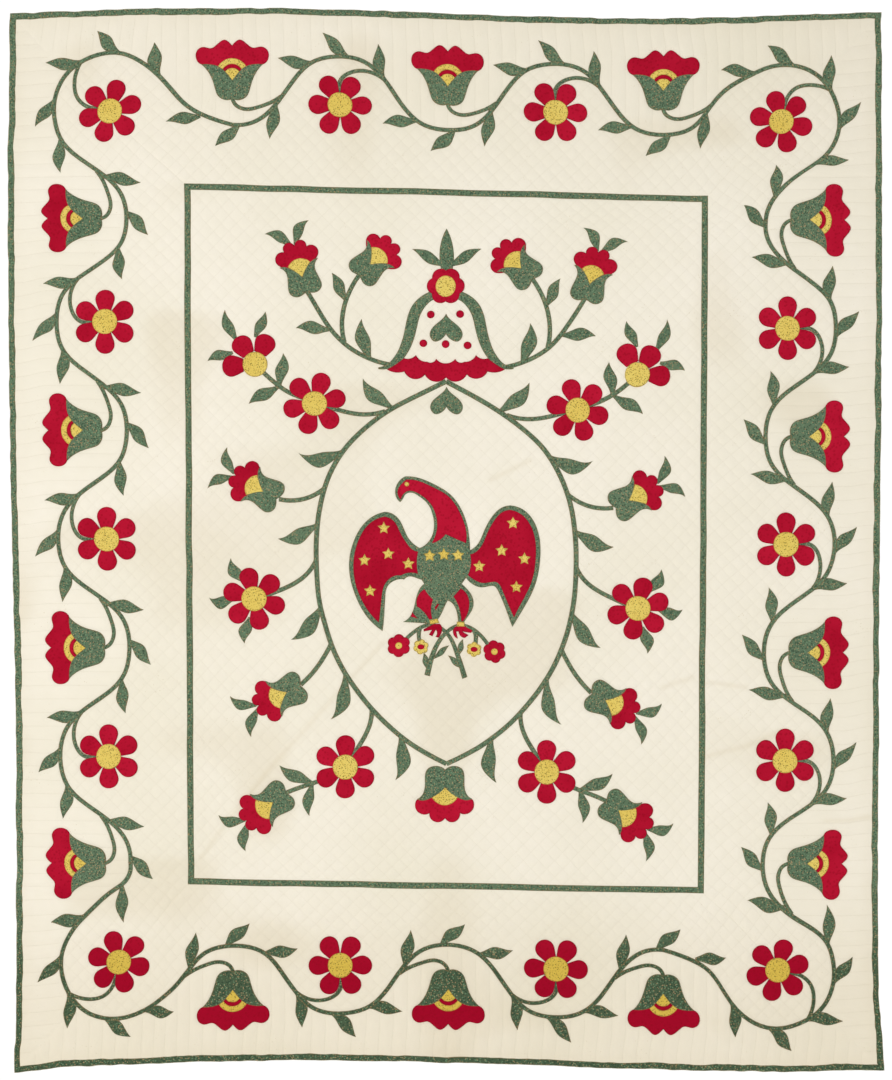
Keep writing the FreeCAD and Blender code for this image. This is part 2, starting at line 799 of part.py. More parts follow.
def running_border():
    """All patches of the border, node by node."""
    vines = []
    stems = []
    leaves = []
    heads = {"petals": [], "outer": [], "inner": [], "fans": [], "cups": []}
    petals = []
    centres = []
    for side in range(4):
        turn = -90 * side
        vines.append(patch(ribbon(vine_line(side), [VINE_WIDTH]), 2))
        spots = tulip_spots(side)
        for number, spot in enumerate(spots):
            x, z = on_side(side, spot, TULIP_DEPTH)
            motifs = {
                "petals": (tulip_petals(), 3),
                "outer": (tulip_arc((33, 77, 96), (22, 69, 82)), 4),
                "inner": (tulip_arc((22, 69, 82), (18, 64, 73)), 4),
                "fans": (tulip_fan(), 4),
                "cups": (tulip_cup(), 5),
            }
            for name, (runs, layer) in motifs.items():
                heads[name].append(patch(place_runs(runs, x, z, turn), layer))
            stem = [on_side(side, spot + along, depth) for along, depth in TULIP_STEM]
            stems.append(patch(ribbon(stem, [STEM_WIDTH]), 1))
            pairs = list(TROUGH_LEAVES)
            if side % 2 == 1 and number == 0:
                pairs[0] = FIRST_UPRIGHT_LEAF
            if number < len(spots) - 1:
                pairs += CREST_LEAVES
                flower = spot + PITCH / 2
                x, z = on_side(side, flower, FLOWER_DEPTH)
                for index in range(6):
                    petals.append(patch(petal(turn + 60 * index, x, z), 3))
                centres.append(round_patch(x, z, CENTRE_RADIUS, 4))
                stem = []
                for along, rise in FLOWER_STEM:
                    stem.append(on_side(side, flower + along, FLOWER_DEPTH + rise))
                stems.append(patch(ribbon(stem, [STEM_WIDTH]), 1))
            for base, tip, bow in pairs:
                base_spot = on_side(side, spot + base[0], base[1])
                tip_spot = on_side(side, spot + tip[0], tip[1])
                leaves.append(patch(leaf(base_spot, tip_spot, bow, -1), 0))
        x, z = on_corner(side, *CORNER_FLOWER)
        for index in range(6):
            petals.append(patch(petal(turn + CORNER_START + 60 * index, x, z), 3))
        centres.append(round_patch(x, z, CENTRE_RADIUS, 4))
        stem = []
        for along, rise in CORNER_STEM:
            past = CORNER_FLOWER[0] - along
            stem.append(on_corner(side, past, CORNER_FLOWER[1] + rise))
        stems.append(patch(ribbon(stem, [STEM_WIDTH]), 1))
        for base, tip, bow in CORNER_LEAVES:
            runs = leaf(on_corner(side, *base), on_corner(side, *tip), bow, -1)
            leaves.append(patch(runs, 0))
    applique("border_vine", vines)
    applique("border_stems", stems)
    applique("border_leaves", leaves)
    applique("tulip_petals", heads["petals"])
    applique("tulip_outer_arcs", heads["outer"])
    applique("tulip_inner_arcs", heads["inner"])
    applique("tulip_fans", heads["fans"])
    applique("tulip_cups", heads["cups"])
    return petals, centres


flower_petals, flower_centres = running_border()


# ---------------------------------------------------------------- centre field
# The wreath is drawn for the right half and mirrored. The maker set the design a
# little askew: it leans down to the right, as lean() says.

LEAN = 0.026


def lean(x, z):
    """A point of the centre design where the maker set it."""
    return (x, z - LEAN * x)


def both_halves(spots):
    """A list of points of the right half, and the same points mirrored."""
    for flip in (1, -1):
        yield flip, [lean(flip * x, z) for x, z in spots]


OVAL = (
    (0, 366),
    (62, 334),
    (122, 300),
    (180, 259),
    (236, 203),
    (276, 130),
    (297, 50),
    (304, -45),
    (298, -135),
    (274, -240),
    (234, -325),
    (173, -404),
    (104, -467),
    (52, -500),
    (0, -527),
)
STEMS = (
    ((130, 401), (180, 414), (237, 447), (278, 494), (325, 568)),
    ((237, 450), (243, 490), (233, 550), (201, 610)),
    ((142, 291), (208, 284), (262, 295), (300, 306)),
    ((330, 318), (384, 341), (428, 376), (446, 393)),
    ((281, 111), (322, 86), (390, 80)),
    ((304, -60), (342, -107), (412, -141), (440, -153)),
    ((268, -253), (292, -297), (338, -352)),
    ((174, -403), (181, -448), (218, -513), (228, -530)),
    ((262, -558), (302, -577), (326, -586), (374, -605)),
)
LEAVES = (
    ((233, 548), (267, 613), 0, 29),
    ((178, 411), (197, 507), -7, 36),
    ((272, 480), (350, 480), 3, 32),
    ((126, 299), (194, 368), -9, 36),
    ((388, 345), (381, 421), 1, 32),
    ((392, 342), (460, 301), 2, 32),
    ((242, 196), (344, 189), -18, 37),
    ((303, 22), (393, -11), -10, 37),
    ((292, -170), (362, -247), -10, 37),
    ((236, -328), (270, -430), -14, 35),
    ((106, -465), (119, -570), -13, 37),
    ((312, -580), (389, -540), -6, 32),
    ((312, -580), (318, -658), 6, 28),
)
OPEN_FLOWERS = ((307, 306, 47), (448, -153, 77), (235, -540, 90))
SIDE_FLOWER_LEAVES = ((60, -8), (0, -11), (-78, 5))
SIDE_LEAF_REACH = (44, 108)
BLOSSOM = (446, 393)
BLOSSOM_AXIS = 56
BLOSSOM_PETAL = (27, 77, 24.5)
BLOSSOM_LEAVES = (
    ((-1, 64), (-25, 124), 2),
    ((43, 55), (70, 129), -7),
    ((52, 27), (113, 8), 4),
)
BUDS = (
    (326, 566, 75, True, 0),
    (201, 608, 135, False, 8),
    (396, 80, 30, True, 3),
    (339, -354, -25, True, 3),
    (374, -605, -35, True, 0),
)
BUD_LEAVES = ((((-2, 113), (-50, 160)), -11), (((6, 113), (60, 155)), 9))


def centre_wreath():
    """The oval wreath with its side stems, leaves, flowers, blossoms and buds."""
    vines = []
    stems = []
    leaves = []
    blossoms = []
    buds = {"petals": [], "fans": [], "cups": []}
    for flip, line in both_halves(OVAL):
        vines.append(patch(ribbon(line, [OVAL_WIDTH]), 2))
    for spots in STEMS:
        for flip, line in both_halves(spots):
            stems.append(patch(ribbon(line, [WREATH_STEM_WIDTH]), 1))
    for base, tip, bow, width in LEAVES:
        hand = math.copysign(1, bow)
        for flip, (base_spot, tip_spot) in both_halves((base, tip)):
            runs = leaf(base_spot, tip_spot, flip * bow, flip * hand, width)
            leaves.append(patch(runs, 0))
    for x, z, start in OPEN_FLOWERS:
        for flip, ((spot_x, spot_z),) in both_halves(((x, z),)):
            for index in range(6):
                angle = start + 60 * index
                turned = angle if flip == 1 else 180 - angle
                flower_petals.append(patch(petal(turned, spot_x, spot_z), 3))
            flower_centres.append(round_patch(spot_x, spot_z, CENTRE_RADIUS, 4))
    side_x, side_z, _ = OPEN_FLOWERS[1]
    for angle, bow in SIDE_FLOWER_LEAVES:
        hand = math.copysign(1, bow)
        reach = [[(along, 0) for along in SIDE_LEAF_REACH]]
        ((root, tip),) = place_runs(reach, side_x, side_z, angle)
        for flip, (base_spot, tip_spot) in both_halves((root, tip)):
            runs = leaf(base_spot, tip_spot, flip * bow, flip * hand)
            leaves.append(patch(runs, 0))
    for flip, ((x, z),) in both_halves((BLOSSOM,)):
        for shift in (-60, 0, 60):
            angle = BLOSSOM_AXIS + shift
            turned = angle if flip == 1 else 180 - angle
            blossoms.append(patch(petal(turned, x, z, *BLOSSOM_PETAL), 3))
        flower_centres.append(round_patch(x, z, CENTRE_RADIUS, 4))
        for base, tip, bow in BLOSSOM_LEAVES:
            hand = math.copysign(1, bow)
            base_spot = (x + flip * base[0], z + base[1])
            tip_spot = (x + flip * tip[0], z + tip[1])
            runs = leaf(base_spot, tip_spot, flip * bow, flip * hand, SMALL_LEAF_WIDTH)
            leaves.append(patch(runs, 0))
    for x, z, axis, leafy, tuck in BUDS:
        for flip, ((spot_x, spot_z),) in both_halves(((x, z),)):
            turn = flip * (axis - 90)
            motifs = {
                "petals": (bud_petals(), 3),
                "fans": (bud_fan(), 4),
                "cups": (bud_cup(), 5),
            }
            for name, (runs, layer) in motifs.items():
                if name == "petals":
                    runs = place_runs(runs, 0, -tuck)
                moved = place_runs(runs, spot_x, spot_z, turn)
                buds[name].append(patch(moved, layer))
            if leafy:
                for pair, bow in BUD_LEAVES:
                    hand = math.copysign(1, bow)
                    ((base, tip),) = place_runs([pair], spot_x, spot_z, turn, flip)
                    runs = leaf(base, tip, flip * bow, flip * hand, SMALL_LEAF_WIDTH)
                    leaves.append(patch(runs, 0))
    hang_x, hang_z = -3, -541
    buds["petals"].append(patch(place_runs(drop_petals(), hang_x, hang_z, 180), 3))
    buds["fans"].append(patch(place_runs(drop_fan(), hang_x, hang_z, 180), 4))
    buds["cups"].append(patch(place_runs(drop_cup(), hang_x, hang_z, 180), 5))
    applique("oval_vine", vines)
    applique("centre_stems", stems)
    applique("blossom_petals", blossoms)
    applique("bud_petals", buds["petals"])
    applique("bud_fans", buds["fans"])
    applique("bud_cups", buds["cups"])
    return leaves


centre_leaves = centre_wreath()


# ---------------------------------------------------------------- bell


def bell():
    """The bell above the wreath: handles, scalloped foot, heart, dots and its flower."""
    handle = ((30, 566), (50, 555), (70, 530), (82, 487), (97, 440), (122, 408), (158, 396))
    handles = []
    for flip in (1, -1):
        line = [(flip * x, z) for x, z in handle]
        handles.append(patch(ribbon(line, [20, 27, 27, 25, 19, 4]), 2))
    applique("bell_handles", handles)
    upper = [
        [(0, 408), (11, 410), (22, 418)],
        [(22, 418), (34, 409), (43, 411)],
        [(43, 411), (58, 414), (69, 426)],
        [(69, 426), (82, 418), (97, 419)],
    ]
    lower = [
        [(97, 388), (73, 371), (49, 381)],
        [(49, 381), (23, 365), (0, 375)],
    ]
    right = upper + [[(97, 419), (119, 404), (138, 393)], [(138, 393), (118, 386), (97, 388)]]
    right += lower
    left = [[(-x, z) for x, z in reversed(run)] for run in reversed(right)]
    applique("bell_scallop", [patch(right + left, 3)])
    dots = []
    for x, z in ((-35, 521), (33, 522), (-52, 454), (0, 452), (50, 449)):
        dots.append(round_patch(x, z, 9, 3))
    applique("bell_dots", dots)
    hearts = [patch(place_runs(heart(), 1, top), 3) for top in (523, 354)]
    applique("hearts", hearts)
    flower = place_runs(rosette(44, 37, 6), -1, 588)
    applique("bell_flower", [patch(flower, 3)])
    flower_centres.append(round_patch(-1, 587, 23.5, 4, 25.5))
    sprig = [
        patch(leaf((-3, 636), (-80, 674), 0, -1, 27), 0),
        patch(leaf((5, 636), (84, 674), 0, 1, 27), 0),
    ]
    blade = [(-12, 626), (-16, 660), (-12, 690), (1, 722), (14, 690), (18, 660), (14, 626)]
    sprig.append(patch([blade[:4], blade[3:]], 0))
    applique("bell_sprig", sprig)


bell()


# ---------------------------------------------------------------- eagle
# Coordinates from the quilt's centre. The green silhouette shows as a rim round the
# red patches sewn on it.

LEFT_WING = (
    [(-44, -30), (-66, -20), (-85, -3), (-98, 22), (-111, 46), (-124, 57), (-143, 62)],
    [(-143, 62), (-184, 41), (-214, -2), (-226, -57), (-214, -129), (-186, -182), (-148, -218)],
    [(-148, -218), (-144, -179), (-142, -141), (-136, -113), (-122, -101), (-97, -97)],
    [(-97, -97), (-75, -91), (-57, -97), (-40, -80)],
)
LEFT_WING_PATCH = (
    [(-64, -31), (-78, -26), (-92, -10), (-106, 13), (-117, 35), (-130, 47), (-144, 51)],
    [(-144, 51), (-182, 31), (-208, -12), (-216, -58), (-205, -128), (-185, -166), (-156, -199)],
    [(-156, -199), (-153, -172), (-150, -141), (-144, -113), (-130, -95), (-104, -88)],
    [(-104, -88), (-79, -81), (-64, -84)],
    [(-64, -84), (-67, -58), (-64, -31)],
)
RIGHT_WING = (
    [(40, -30), (62, -26), (77, -12), (89, 15), (102, 42), (122, 66), (150, 76)],
    [(150, 76), (188, 60), (212, 22), (220, -40), (208, -108), (182, -162), (154, -207)],
    [(154, -207), (140, -169), (125, -132), (112, -113), (87, -116), (65, -110), (46, -92)],
)
RIGHT_WING_PATCH = (
    [(56, -38), (69, -33), (85, -16), (97, 12), (109, 36), (127, 58), (149, 66)],
    [(149, 66), (181, 51), (203, 16), (210, -40), (199, -104), (178, -148), (158, -186)],
    [(158, -186), (148, -164), (133, -128), (118, -104), (88, -106), (69, -100), (50, -86)],
    [(50, -86), (57, -62), (56, -38)],
)
NECK = (
    [(55, -40), (55, 5), (47, 39), (32, 72), (14, 97), (-28, 126), (-72, 143), (-95, 144)],
    [(-95, 144), (-105, 137), (-118, 112), (-117, 98), (-107, 84)],
    [(-107, 84), (-101, 91), (-94, 102), (-82, 106), (-64, 98), (-46, 83), (-33, 58)],
    [(-33, 58), (-28, 34), (-31, 9), (-44, -12), (-64, -24)],
    [(-64, -24), (-50, -50), (20, -60), (55, -40)],
)
NECK_PATCH = (
    [(48, -13), (49, 12), (42, 38), (27, 69), (9, 94), (-32, 120), (-72, 136), (-92, 137)],
    [(-92, 137), (-102, 128), (-113, 109), (-112, 99), (-105, 89)],
    [(-105, 89), (-98, 103), (-89, 109), (-74, 108), (-56, 98), (-38, 81), (-27, 59)],
    [(-27, 59), (-21, 34), (-23, 12), (-34, -12)],
    [(-34, -12), (-17, -6), (0, 9)],
    [(0, 9), (48, -13)],
)
BREAST = (
    [(-60, -22), (-67, -58), (-61, -88), (-50, -108), (-32, -136), (-6, -154)],
    [(-6, -154), (12, -138), (34, -110), (47, -91), (56, -60), (55, -20)],
    [(55, -20), (-60, -22)],
)
TAIL = (
    [(-46, -104), (-60, -116), (-72, -150), (-101, -197)],
    [(-101, -197), (-47, -200)],
    [(-47, -200), (-22, -192), (-8, -170), (4, -146)],
    [(4, -146), (-10, -110), (-46, -104)],
)
RIGHT_LEG = (
    [(28, -100), (50, -120), (64, -143), (64, -162), (54, -180), (42, -196)],
    [(42, -196), (28, -196)],
    [(28, -196), (26, -178), (18, -157), (2, -146)],
    [(2, -146), (28, -100)],
)
LEG_PATCHES = (
    (
        [(-50, -119), (-41, -132), (-30, -144)],
        [(-30, -144), (-35, -166), (-32, -189)],
        [(-32, -189), (-40, -191)],
        [(-40, -191), (-50, -176), (-68, -160)],
        [(-68, -160), (-68, -141), (-50, -119)],
    ),
    (
        [(34, -118), (53, -138), (55, -163), (39, -195)],
        [(39, -195), (35, -193)],
        [(35, -193), (31, -165), (17, -137)],
        [(17, -137), (34, -118)],
    ),
    ([(-15, -154), (-25, -170)], [(-25, -170), (-27, -162)], [(-27, -162), (-21, -154)]),
    ([(-79, -173), (-66, -189)], [(-66, -189), (-83, -184)], [(-83, -184), (-79, -173)]),
)
CLAWS = (
    (
        [(-31, -201), (-16, -200)],
        [(-16, -200), (-10, -214), (-13, -224), (-18, -233)],
        [(-18, -233), (-26, -231)],
        [(-26, -231), (-22, -222), (-25, -214)],
        [(-25, -214), (-33, -230)],
        [(-33, -230), (-41, -226)],
        [(-41, -226), (-34, -215)],
        [(-34, -215), (-53, -219)],
        [(-53, -219), (-53, -213)],
        [(-53, -213), (-41, -207), (-31, -201)],
    ),
    (
        [(25, -205), (44, -205)],
        [(44, -205), (53, -210), (63, -215)],
        [(63, -215), (59, -221)],
        [(59, -221), (38, -218)],
        [(38, -218), (53, -226)],
        [(53, -226), (44, -233)],
        [(44, -233), (34, -229), (29, -218)],
        [(29, -218), (23, -218)],
        [(23, -218), (27, -235)],
        [(27, -235), (17, -226), (16, -213), (25, -205)],
    ),
)
ANKLES = (
    ([(-40, -192), (-21, -188)], [(-21, -188), (-17, -198)], [(-17, -198), (-38, -202)]),
    ([(25, -195), (43, -195)], [(43, -195), (44, -206)], [(44, -206), (24, -206)]),
)
STARS = (
    (-145, 24),
    (-134, -37),
    (-190, -52),
    (-87, -60),
    (-177, -124),
    (156, 35),
    (130, -29),
    (183, -48),
    (77, -66),
    (164, -115),
    (-38, -41),
    (-5, -38),
    (28, -40),
)
STAR_RADIUS = 15.5


def eagle():
    """The spread eagle in the middle of the wreath."""
    silhouette = []
    for outline in (LEFT_WING, RIGHT_WING, NECK, BREAST, TAIL, RIGHT_LEG):
        silhouette.append(patch(outline, 3))
    applique("eagle_silhouette", silhouette)
    wings = [patch(outline, 4) for outline in (LEFT_WING_PATCH, RIGHT_WING_PATCH)]
    applique("eagle_wings", wings)
    applique("eagle_neck", [patch(NECK_PATCH, 4)])
    applique("eagle_legs", [patch(outline, 4) for outline in LEG_PATCHES])
    applique("eagle_claws", [patch(outline, 3) for outline in CLAWS])
    applique("eagle_ankle_bands", [patch(outline, 5) for outline in ANKLES])
    stars = []
    for x, z in STARS:
        stars.append(patch(place_runs(star(STAR_RADIUS), x, z), 5))
    applique("eagle_stars", stars)
    applique("eagle_eye", [round_patch(-91, 126, 5.5, 5)])


eagle()


# ---------------------------------------------------------------- crossed sprigs


def sprigs():
    """Two crossed sprigs that the eagle holds, each with a red and a yellow flower."""
    rising = [(-45, -321), (-36, -286), (-21, -248), (1, -219), (30, -204), (60, -210)]
    falling = [(44, -327), (34, -297), (24, -268), (4, -226), (-14, -210), (-38, -203)]
    stems = [
        patch(ribbon(rising + [(84, -230), (100, -252)], [13, 11, 9, 9, 9]), 1),
        patch(ribbon(falling + [(-62, -211), (-92, -235)], [13, 11, 9, 9, 9]), 1),
        patch(ribbon([(66, -214), (70, -226), (70, -236), (68, -248)], [11, 10]), 1),
        patch(ribbon([(-62, -212), (-64, -222), (-64, -232), (-61, -244)], [10, 9]), 1),
    ]
    applique("sprig_stems", stems)
    for base, tip, hand in (
        ((-44, -306), (-53, -268), -1),
        ((-30, -282), (7, -251), 1),
        ((28, -274), (40, -235), 1),
        ((36, -304), (3, -275), -1),
    ):
        centre_leaves.append(patch(leaf(base, tip, 0, hand, 15), 0))
    reds = []
    golds = []
    gold_middles = []
    red_middles = []
    for x, z, start in ((-110, -252, 30), (113, -265, 40)):
        reds.append(patch(place_runs(rosette(27, 22.5, 6, start), x, z), 3))
        gold_middles.append(round_patch(x, z, 8, 4))
    for x, z, start in ((-59, -255, 20), (65, -260, 25)):
        golds.append(patch(place_runs(rosette(18, 14.5, 6, start), x, z), 3))
        red_middles.append(round_patch(x, z, 8.5, 4, 6.5))
    applique("sprig_flowers_red", reds)
    applique("sprig_flowers_gold", golds)
    applique("sprig_centres_gold", gold_middles)
    applique("sprig_centres_red", red_middles)


sprigs()
applique("centre_leaves", centre_leaves)
applique("flower_petals", flower_petals)
applique("flower_centres", flower_centres)


# ---------------------------------------------------------------- check and write

doc.recompute()
for item in doc.Objects:
    if "Invalid" in item.State or "Error" in item.State:
        raise RuntimeError(f"{item.Label} did not rebuild: {item.State}")
for item in subparts:
    if item.Shape.isNull() or not item.Shape.isValid():
        raise RuntimeError(f"{item.Label} has no valid shape")
    if not item.Shape.Solids:
        raise RuntimeError(f"{item.Label} holds no solid")
    item.Shape.exportStep(os.path.join("parts", f"{item.Label}.step"))
print(f"{len(subparts)} sub-parts written")
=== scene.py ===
"""Looks of a hung applique quilt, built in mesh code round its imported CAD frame.

The cloth top is one grid of points that the centre, the frame strips and the borders share,
so that their seams meet. Every applique patch takes its outline from its own CAD node, then
gets a rounded, turned-under edge and a soft pillow where the batting swells behind it.
All lengths are metres in the frame's own axes. The quilt's own x and z run from its middle.
"""

import json
import math

import bpy
import numpy as np
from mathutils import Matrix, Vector, geometry
from mathutils.bvhtree import BVHTree
from mathutils.kdtree import KDTree

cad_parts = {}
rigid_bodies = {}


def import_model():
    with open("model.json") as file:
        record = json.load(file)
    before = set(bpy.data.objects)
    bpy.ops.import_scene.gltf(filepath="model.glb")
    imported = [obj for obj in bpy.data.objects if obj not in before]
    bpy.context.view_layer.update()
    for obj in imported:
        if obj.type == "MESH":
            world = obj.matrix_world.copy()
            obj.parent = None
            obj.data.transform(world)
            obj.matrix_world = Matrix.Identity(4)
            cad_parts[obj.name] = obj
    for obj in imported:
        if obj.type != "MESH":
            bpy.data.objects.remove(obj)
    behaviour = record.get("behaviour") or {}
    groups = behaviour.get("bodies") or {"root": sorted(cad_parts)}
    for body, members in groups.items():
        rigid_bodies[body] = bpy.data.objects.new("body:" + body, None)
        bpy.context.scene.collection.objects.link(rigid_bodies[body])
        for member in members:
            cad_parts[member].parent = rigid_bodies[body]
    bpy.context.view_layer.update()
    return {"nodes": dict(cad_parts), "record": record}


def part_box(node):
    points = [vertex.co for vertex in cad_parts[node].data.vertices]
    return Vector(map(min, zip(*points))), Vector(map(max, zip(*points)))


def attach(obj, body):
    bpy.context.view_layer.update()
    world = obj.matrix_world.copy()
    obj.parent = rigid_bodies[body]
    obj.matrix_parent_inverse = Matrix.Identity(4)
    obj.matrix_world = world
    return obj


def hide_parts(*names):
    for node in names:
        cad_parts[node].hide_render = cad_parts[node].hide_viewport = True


for leftover in list(bpy.data.objects):
    bpy.data.objects.remove(leftover)
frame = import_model()

MM = 0.001

# ---- sizes read from the frame

QUILT_LOW, QUILT_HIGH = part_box("batting")
EDGE_X = QUILT_HIGH.x
EDGE_Z = (QUILT_HIGH.z - QUILT_LOW.z) / 2
MID_Z = (QUILT_HIGH.z + QUILT_LOW.z) / 2
STRIP_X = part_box("frame_strip_top")[1].x
STRIP_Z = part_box("frame_strip_top")[1].z - MID_Z
FIELD_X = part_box("centre_field")[1].x
FIELD_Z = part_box("centre_field")[1].z - MID_Z
FRONT_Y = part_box("centre_field")[0].y
BACK_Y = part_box("backing_centre")[1].y
BACKING_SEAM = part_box("backing_centre")[1].x
BINDING_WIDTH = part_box("binding_left")[1].x + EDGE_X
ROD_LOW, ROD_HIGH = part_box("hanging_rod")
ROD_RADIUS = (ROD_HIGH.z - ROD_LOW.z) / 2
ROD_Y = (ROD_HIGH.y + ROD_LOW.y) / 2
ROD_Z = (ROD_HIGH.z + ROD_LOW.z) / 2


# ---- camera and light

VIEW_HEIGHT = 2520 * MM
VIEW_DROP = 4.7 * MM
LENS = 100.0
SENSOR = 36.0


def make_camera():
    """A long lens square on to the quilt, whose frame just holds it."""
    data = bpy.data.cameras.new("camera")
    data.lens = LENS
    data.sensor_width = SENSOR
    camera = bpy.data.objects.new("camera", data)
    bpy.context.scene.collection.objects.link(camera)
    distance = VIEW_HEIGHT * LENS / SENSOR
    camera.location = (0, FRONT_Y - distance, MID_Z - VIEW_DROP)
    camera.rotation_euler = (math.radians(90), 0, 0)
    bpy.context.scene.camera = camera


# Each light is (name, place, watts, side, colour).
LIGHTS = (
    ("key", (-3.6, -5.8, -0.6), 196, 1.5, (1, 0.985, 0.96)),
    ("fill", (3.2, -5.2, -0.9), 78, 2.4, (0.98, 0.99, 1)),
    ("behind", (1.6, 3.6, 0.2), 120, 2.4, (1, 1, 1)),
)
# The white surround as it lights the cloth and as the camera sees it: (strength, colour).
SURROUND = ((0.5, (0.97, 0.985, 1, 1)), (1.05, (1, 1, 1, 1)))


def area_light(name, place, power, side, colour):
    """A soft square lamp at a place, turned towards the quilt's middle."""
    data = bpy.data.lights.new(name, "AREA")
    data.size = side
    data.energy = power
    data.color = colour
    lamp = bpy.data.objects.new(name, data)
    bpy.context.scene.collection.objects.link(lamp)
    lamp.location = place
    toward = Vector((0, 0, MID_Z)) - Vector(place)
    lamp.rotation_euler = toward.to_track_quat("-Z", "Y").to_euler()


def make_world():
    """A white studio surround, brighter to the camera than it lights the cloth."""
    world = bpy.data.worlds.new("studio")
    bpy.context.scene.world = world
    world.use_nodes = True
    tree = world.node_tree
    tree.nodes.clear()
    mix = tree.nodes.new("ShaderNodeMixShader")
    for number, (strength, colour) in enumerate(SURROUND, start=1):
        glow = tree.nodes.new("ShaderNodeBackground")
        glow.inputs["Color"].default_value = colour
        glow.inputs["Strength"].default_value = strength
        tree.links.new(glow.outputs["Background"], mix.inputs[number])
    path = tree.nodes.new("ShaderNodeLightPath")
    output = tree.nodes.new("ShaderNodeOutputWorld")
    tree.links.new(path.outputs["Is Camera Ray"], mix.inputs["Fac"])
    tree.links.new(mix.outputs["Shader"], output.inputs["Surface"])


FLOOR_DROP = 140 * MM
FLOOR_SIDE = 2.6
FLOOR_DEPTH = 3.2


def make_floor(material):
    """A pale floor in front of the wall's plane, just under the quilt's lower edge."""
    z = QUILT_LOW.z - FLOOR_DROP
    front = ((-FLOOR_SIDE, -FLOOR_DEPTH, z), (FLOOR_SIDE, -FLOOR_DEPTH, z))
    corners = [*front, (FLOOR_SIDE, 0, z), (-FLOOR_SIDE, 0, z)]
    mesh = bpy.data.meshes.new("floor")
    mesh.from_pydata(corners, [], [(0, 1, 2, 3)])
    mesh.materials.append(material)
    floor = bpy.data.objects.new("floor", mesh)
    bpy.context.scene.collection.objects.link(floor)


make_camera()
make_world()
for light in LIGHTS:
    area_light(*light)
bpy.context.scene.view_settings.view_transform = "Standard"


# ---- number helpers


def ramp(value, start, end):
    """Smoothly from 0 at start to 1 at end."""
    share = np.clip((value - start) / (end - start), 0, 1)
    return share * share * (3 - 2 * share)


def dent(away, width):
    """A soft groove or ridge: 1 on its line, fading out over its width on both sides."""
    return np.exp(-((away / width) ** 2))


def blend(table, row, column, above, right):
    """A mix of four neighbours in a table, by shares of the upper and right ones."""
    low = table[row, column] * (1 - right) + table[row, column + 1] * right
    high = table[row + 1, column] * (1 - right) + table[row + 1, column + 1] * right
    return low * (1 - above) + high * above


def quads(rows, columns):
    """Four-cornered faces between rows of points."""
    number = np.arange(rows * columns).reshape(rows, columns)
    corners = (number[:-1, :-1], number[:-1, 1:], number[1:, 1:], number[1:, :-1])
    return np.stack(corners, axis=-1).reshape(-1, 4)


def look_up(table, up, across):
    """A table's values between its rows and columns."""
    row = np.minimum(up.astype(int), table.shape[0] - 2)
    column = np.minimum(across.astype(int), table.shape[1] - 2)
    return blend(table, row, column, up - row, across - column)


NOISE_SIDE = 64


def soft_noise(x, z, size_x, size_z, seed):
    """Smooth random values from -1 to 1, whose lumps are size_x by size_z."""
    table = np.random.RandomState(seed).uniform(-1, 1, (NOISE_SIDE, NOISE_SIDE))
    table = np.pad(table, ((0, 1), (0, 1)), mode="wrap")
    across = x / size_x
    up = z / size_z
    column = np.floor(across).astype(int)
    row = np.floor(up).astype(int)
    right = ramp(across - column, 0, 1)
    above = ramp(up - row, 0, 1)
    return blend(table, row % NOISE_SIDE, column % NOISE_SIDE, above, right)


# ---- the grid of the cloth top

HATCH_CELLS = 8
KEY_CELLS = 7
BORDER_CELLS = 92
STRIP_CELLS = 4
FIELD_COLUMNS = 33 * HATCH_CELLS
FIELD_ROWS = 45 * HATCH_CELLS


def grid_line(edge, strip, field, field_cells):
    """Places of the grid's lines along one axis, from one edge of the quilt to the other."""
    outer = np.linspace(-edge, -strip, BORDER_CELLS + 1)
    frame_strip = np.linspace(-strip, -field, STRIP_CELLS + 1)[1:]
    middle = np.linspace(-field, field, field_cells + 1)[1:-1]
    half = np.concatenate([outer, frame_strip])
    return np.concatenate([half, middle, -half[::-1]])


LINE_X = grid_line(EDGE_X, STRIP_X, FIELD_X, FIELD_COLUMNS)
LINE_Z = grid_line(EDGE_Z, STRIP_Z, FIELD_Z, FIELD_ROWS)
COLUMNS = len(LINE_X) - 1
ROWS = len(LINE_Z) - 1
GRID_X, GRID_Z = np.meshgrid(LINE_X, LINE_Z)
COLUMN, ROW = np.meshgrid(np.arange(COLUMNS + 1), np.arange(ROWS + 1))
CELL = EDGE_X * 2 / COLUMNS


def sample(field, x, z):
    """A grid field's value at any places of the quilt, between the grid's points."""
    across = np.interp(x, LINE_X, np.arange(COLUMNS + 1))
    up = np.interp(z, LINE_Z, np.arange(ROWS + 1))
    return look_up(field, up, across)


# ---- how it has gone out of true

# Each bow is (mean, swing, where its crest is from -1 to 1, half its wave), in mm.
TOP_BOW = (-5, 12, -0.5, 0.95)
BOTTOM_BOW = (-2, 13, -0.3, 1.05)
LEFT_BOW = (2.5, -10, 0.62, 1.25)
RIGHT_BOW = (-2, 4.5, 0.6, 1.2)
# Each lean is (shift at the middle, more at the far end) of a frame strip, in mm.
TOP_LEAN = (-6.5, -14.5)
BOTTOM_LEAN = (0.5, -10)
LEFT_LEAN = (5, -4.5)
RIGHT_LEAN = (-4.5, 5)
# The lower left corner hangs lower and the lower right one further out, in mm.
LOWER_CORNER_DROP = -9
LOWER_CORNER_FLARE = 11
CORNER_START_X = 0.86
CORNER_START_Z = 0.84
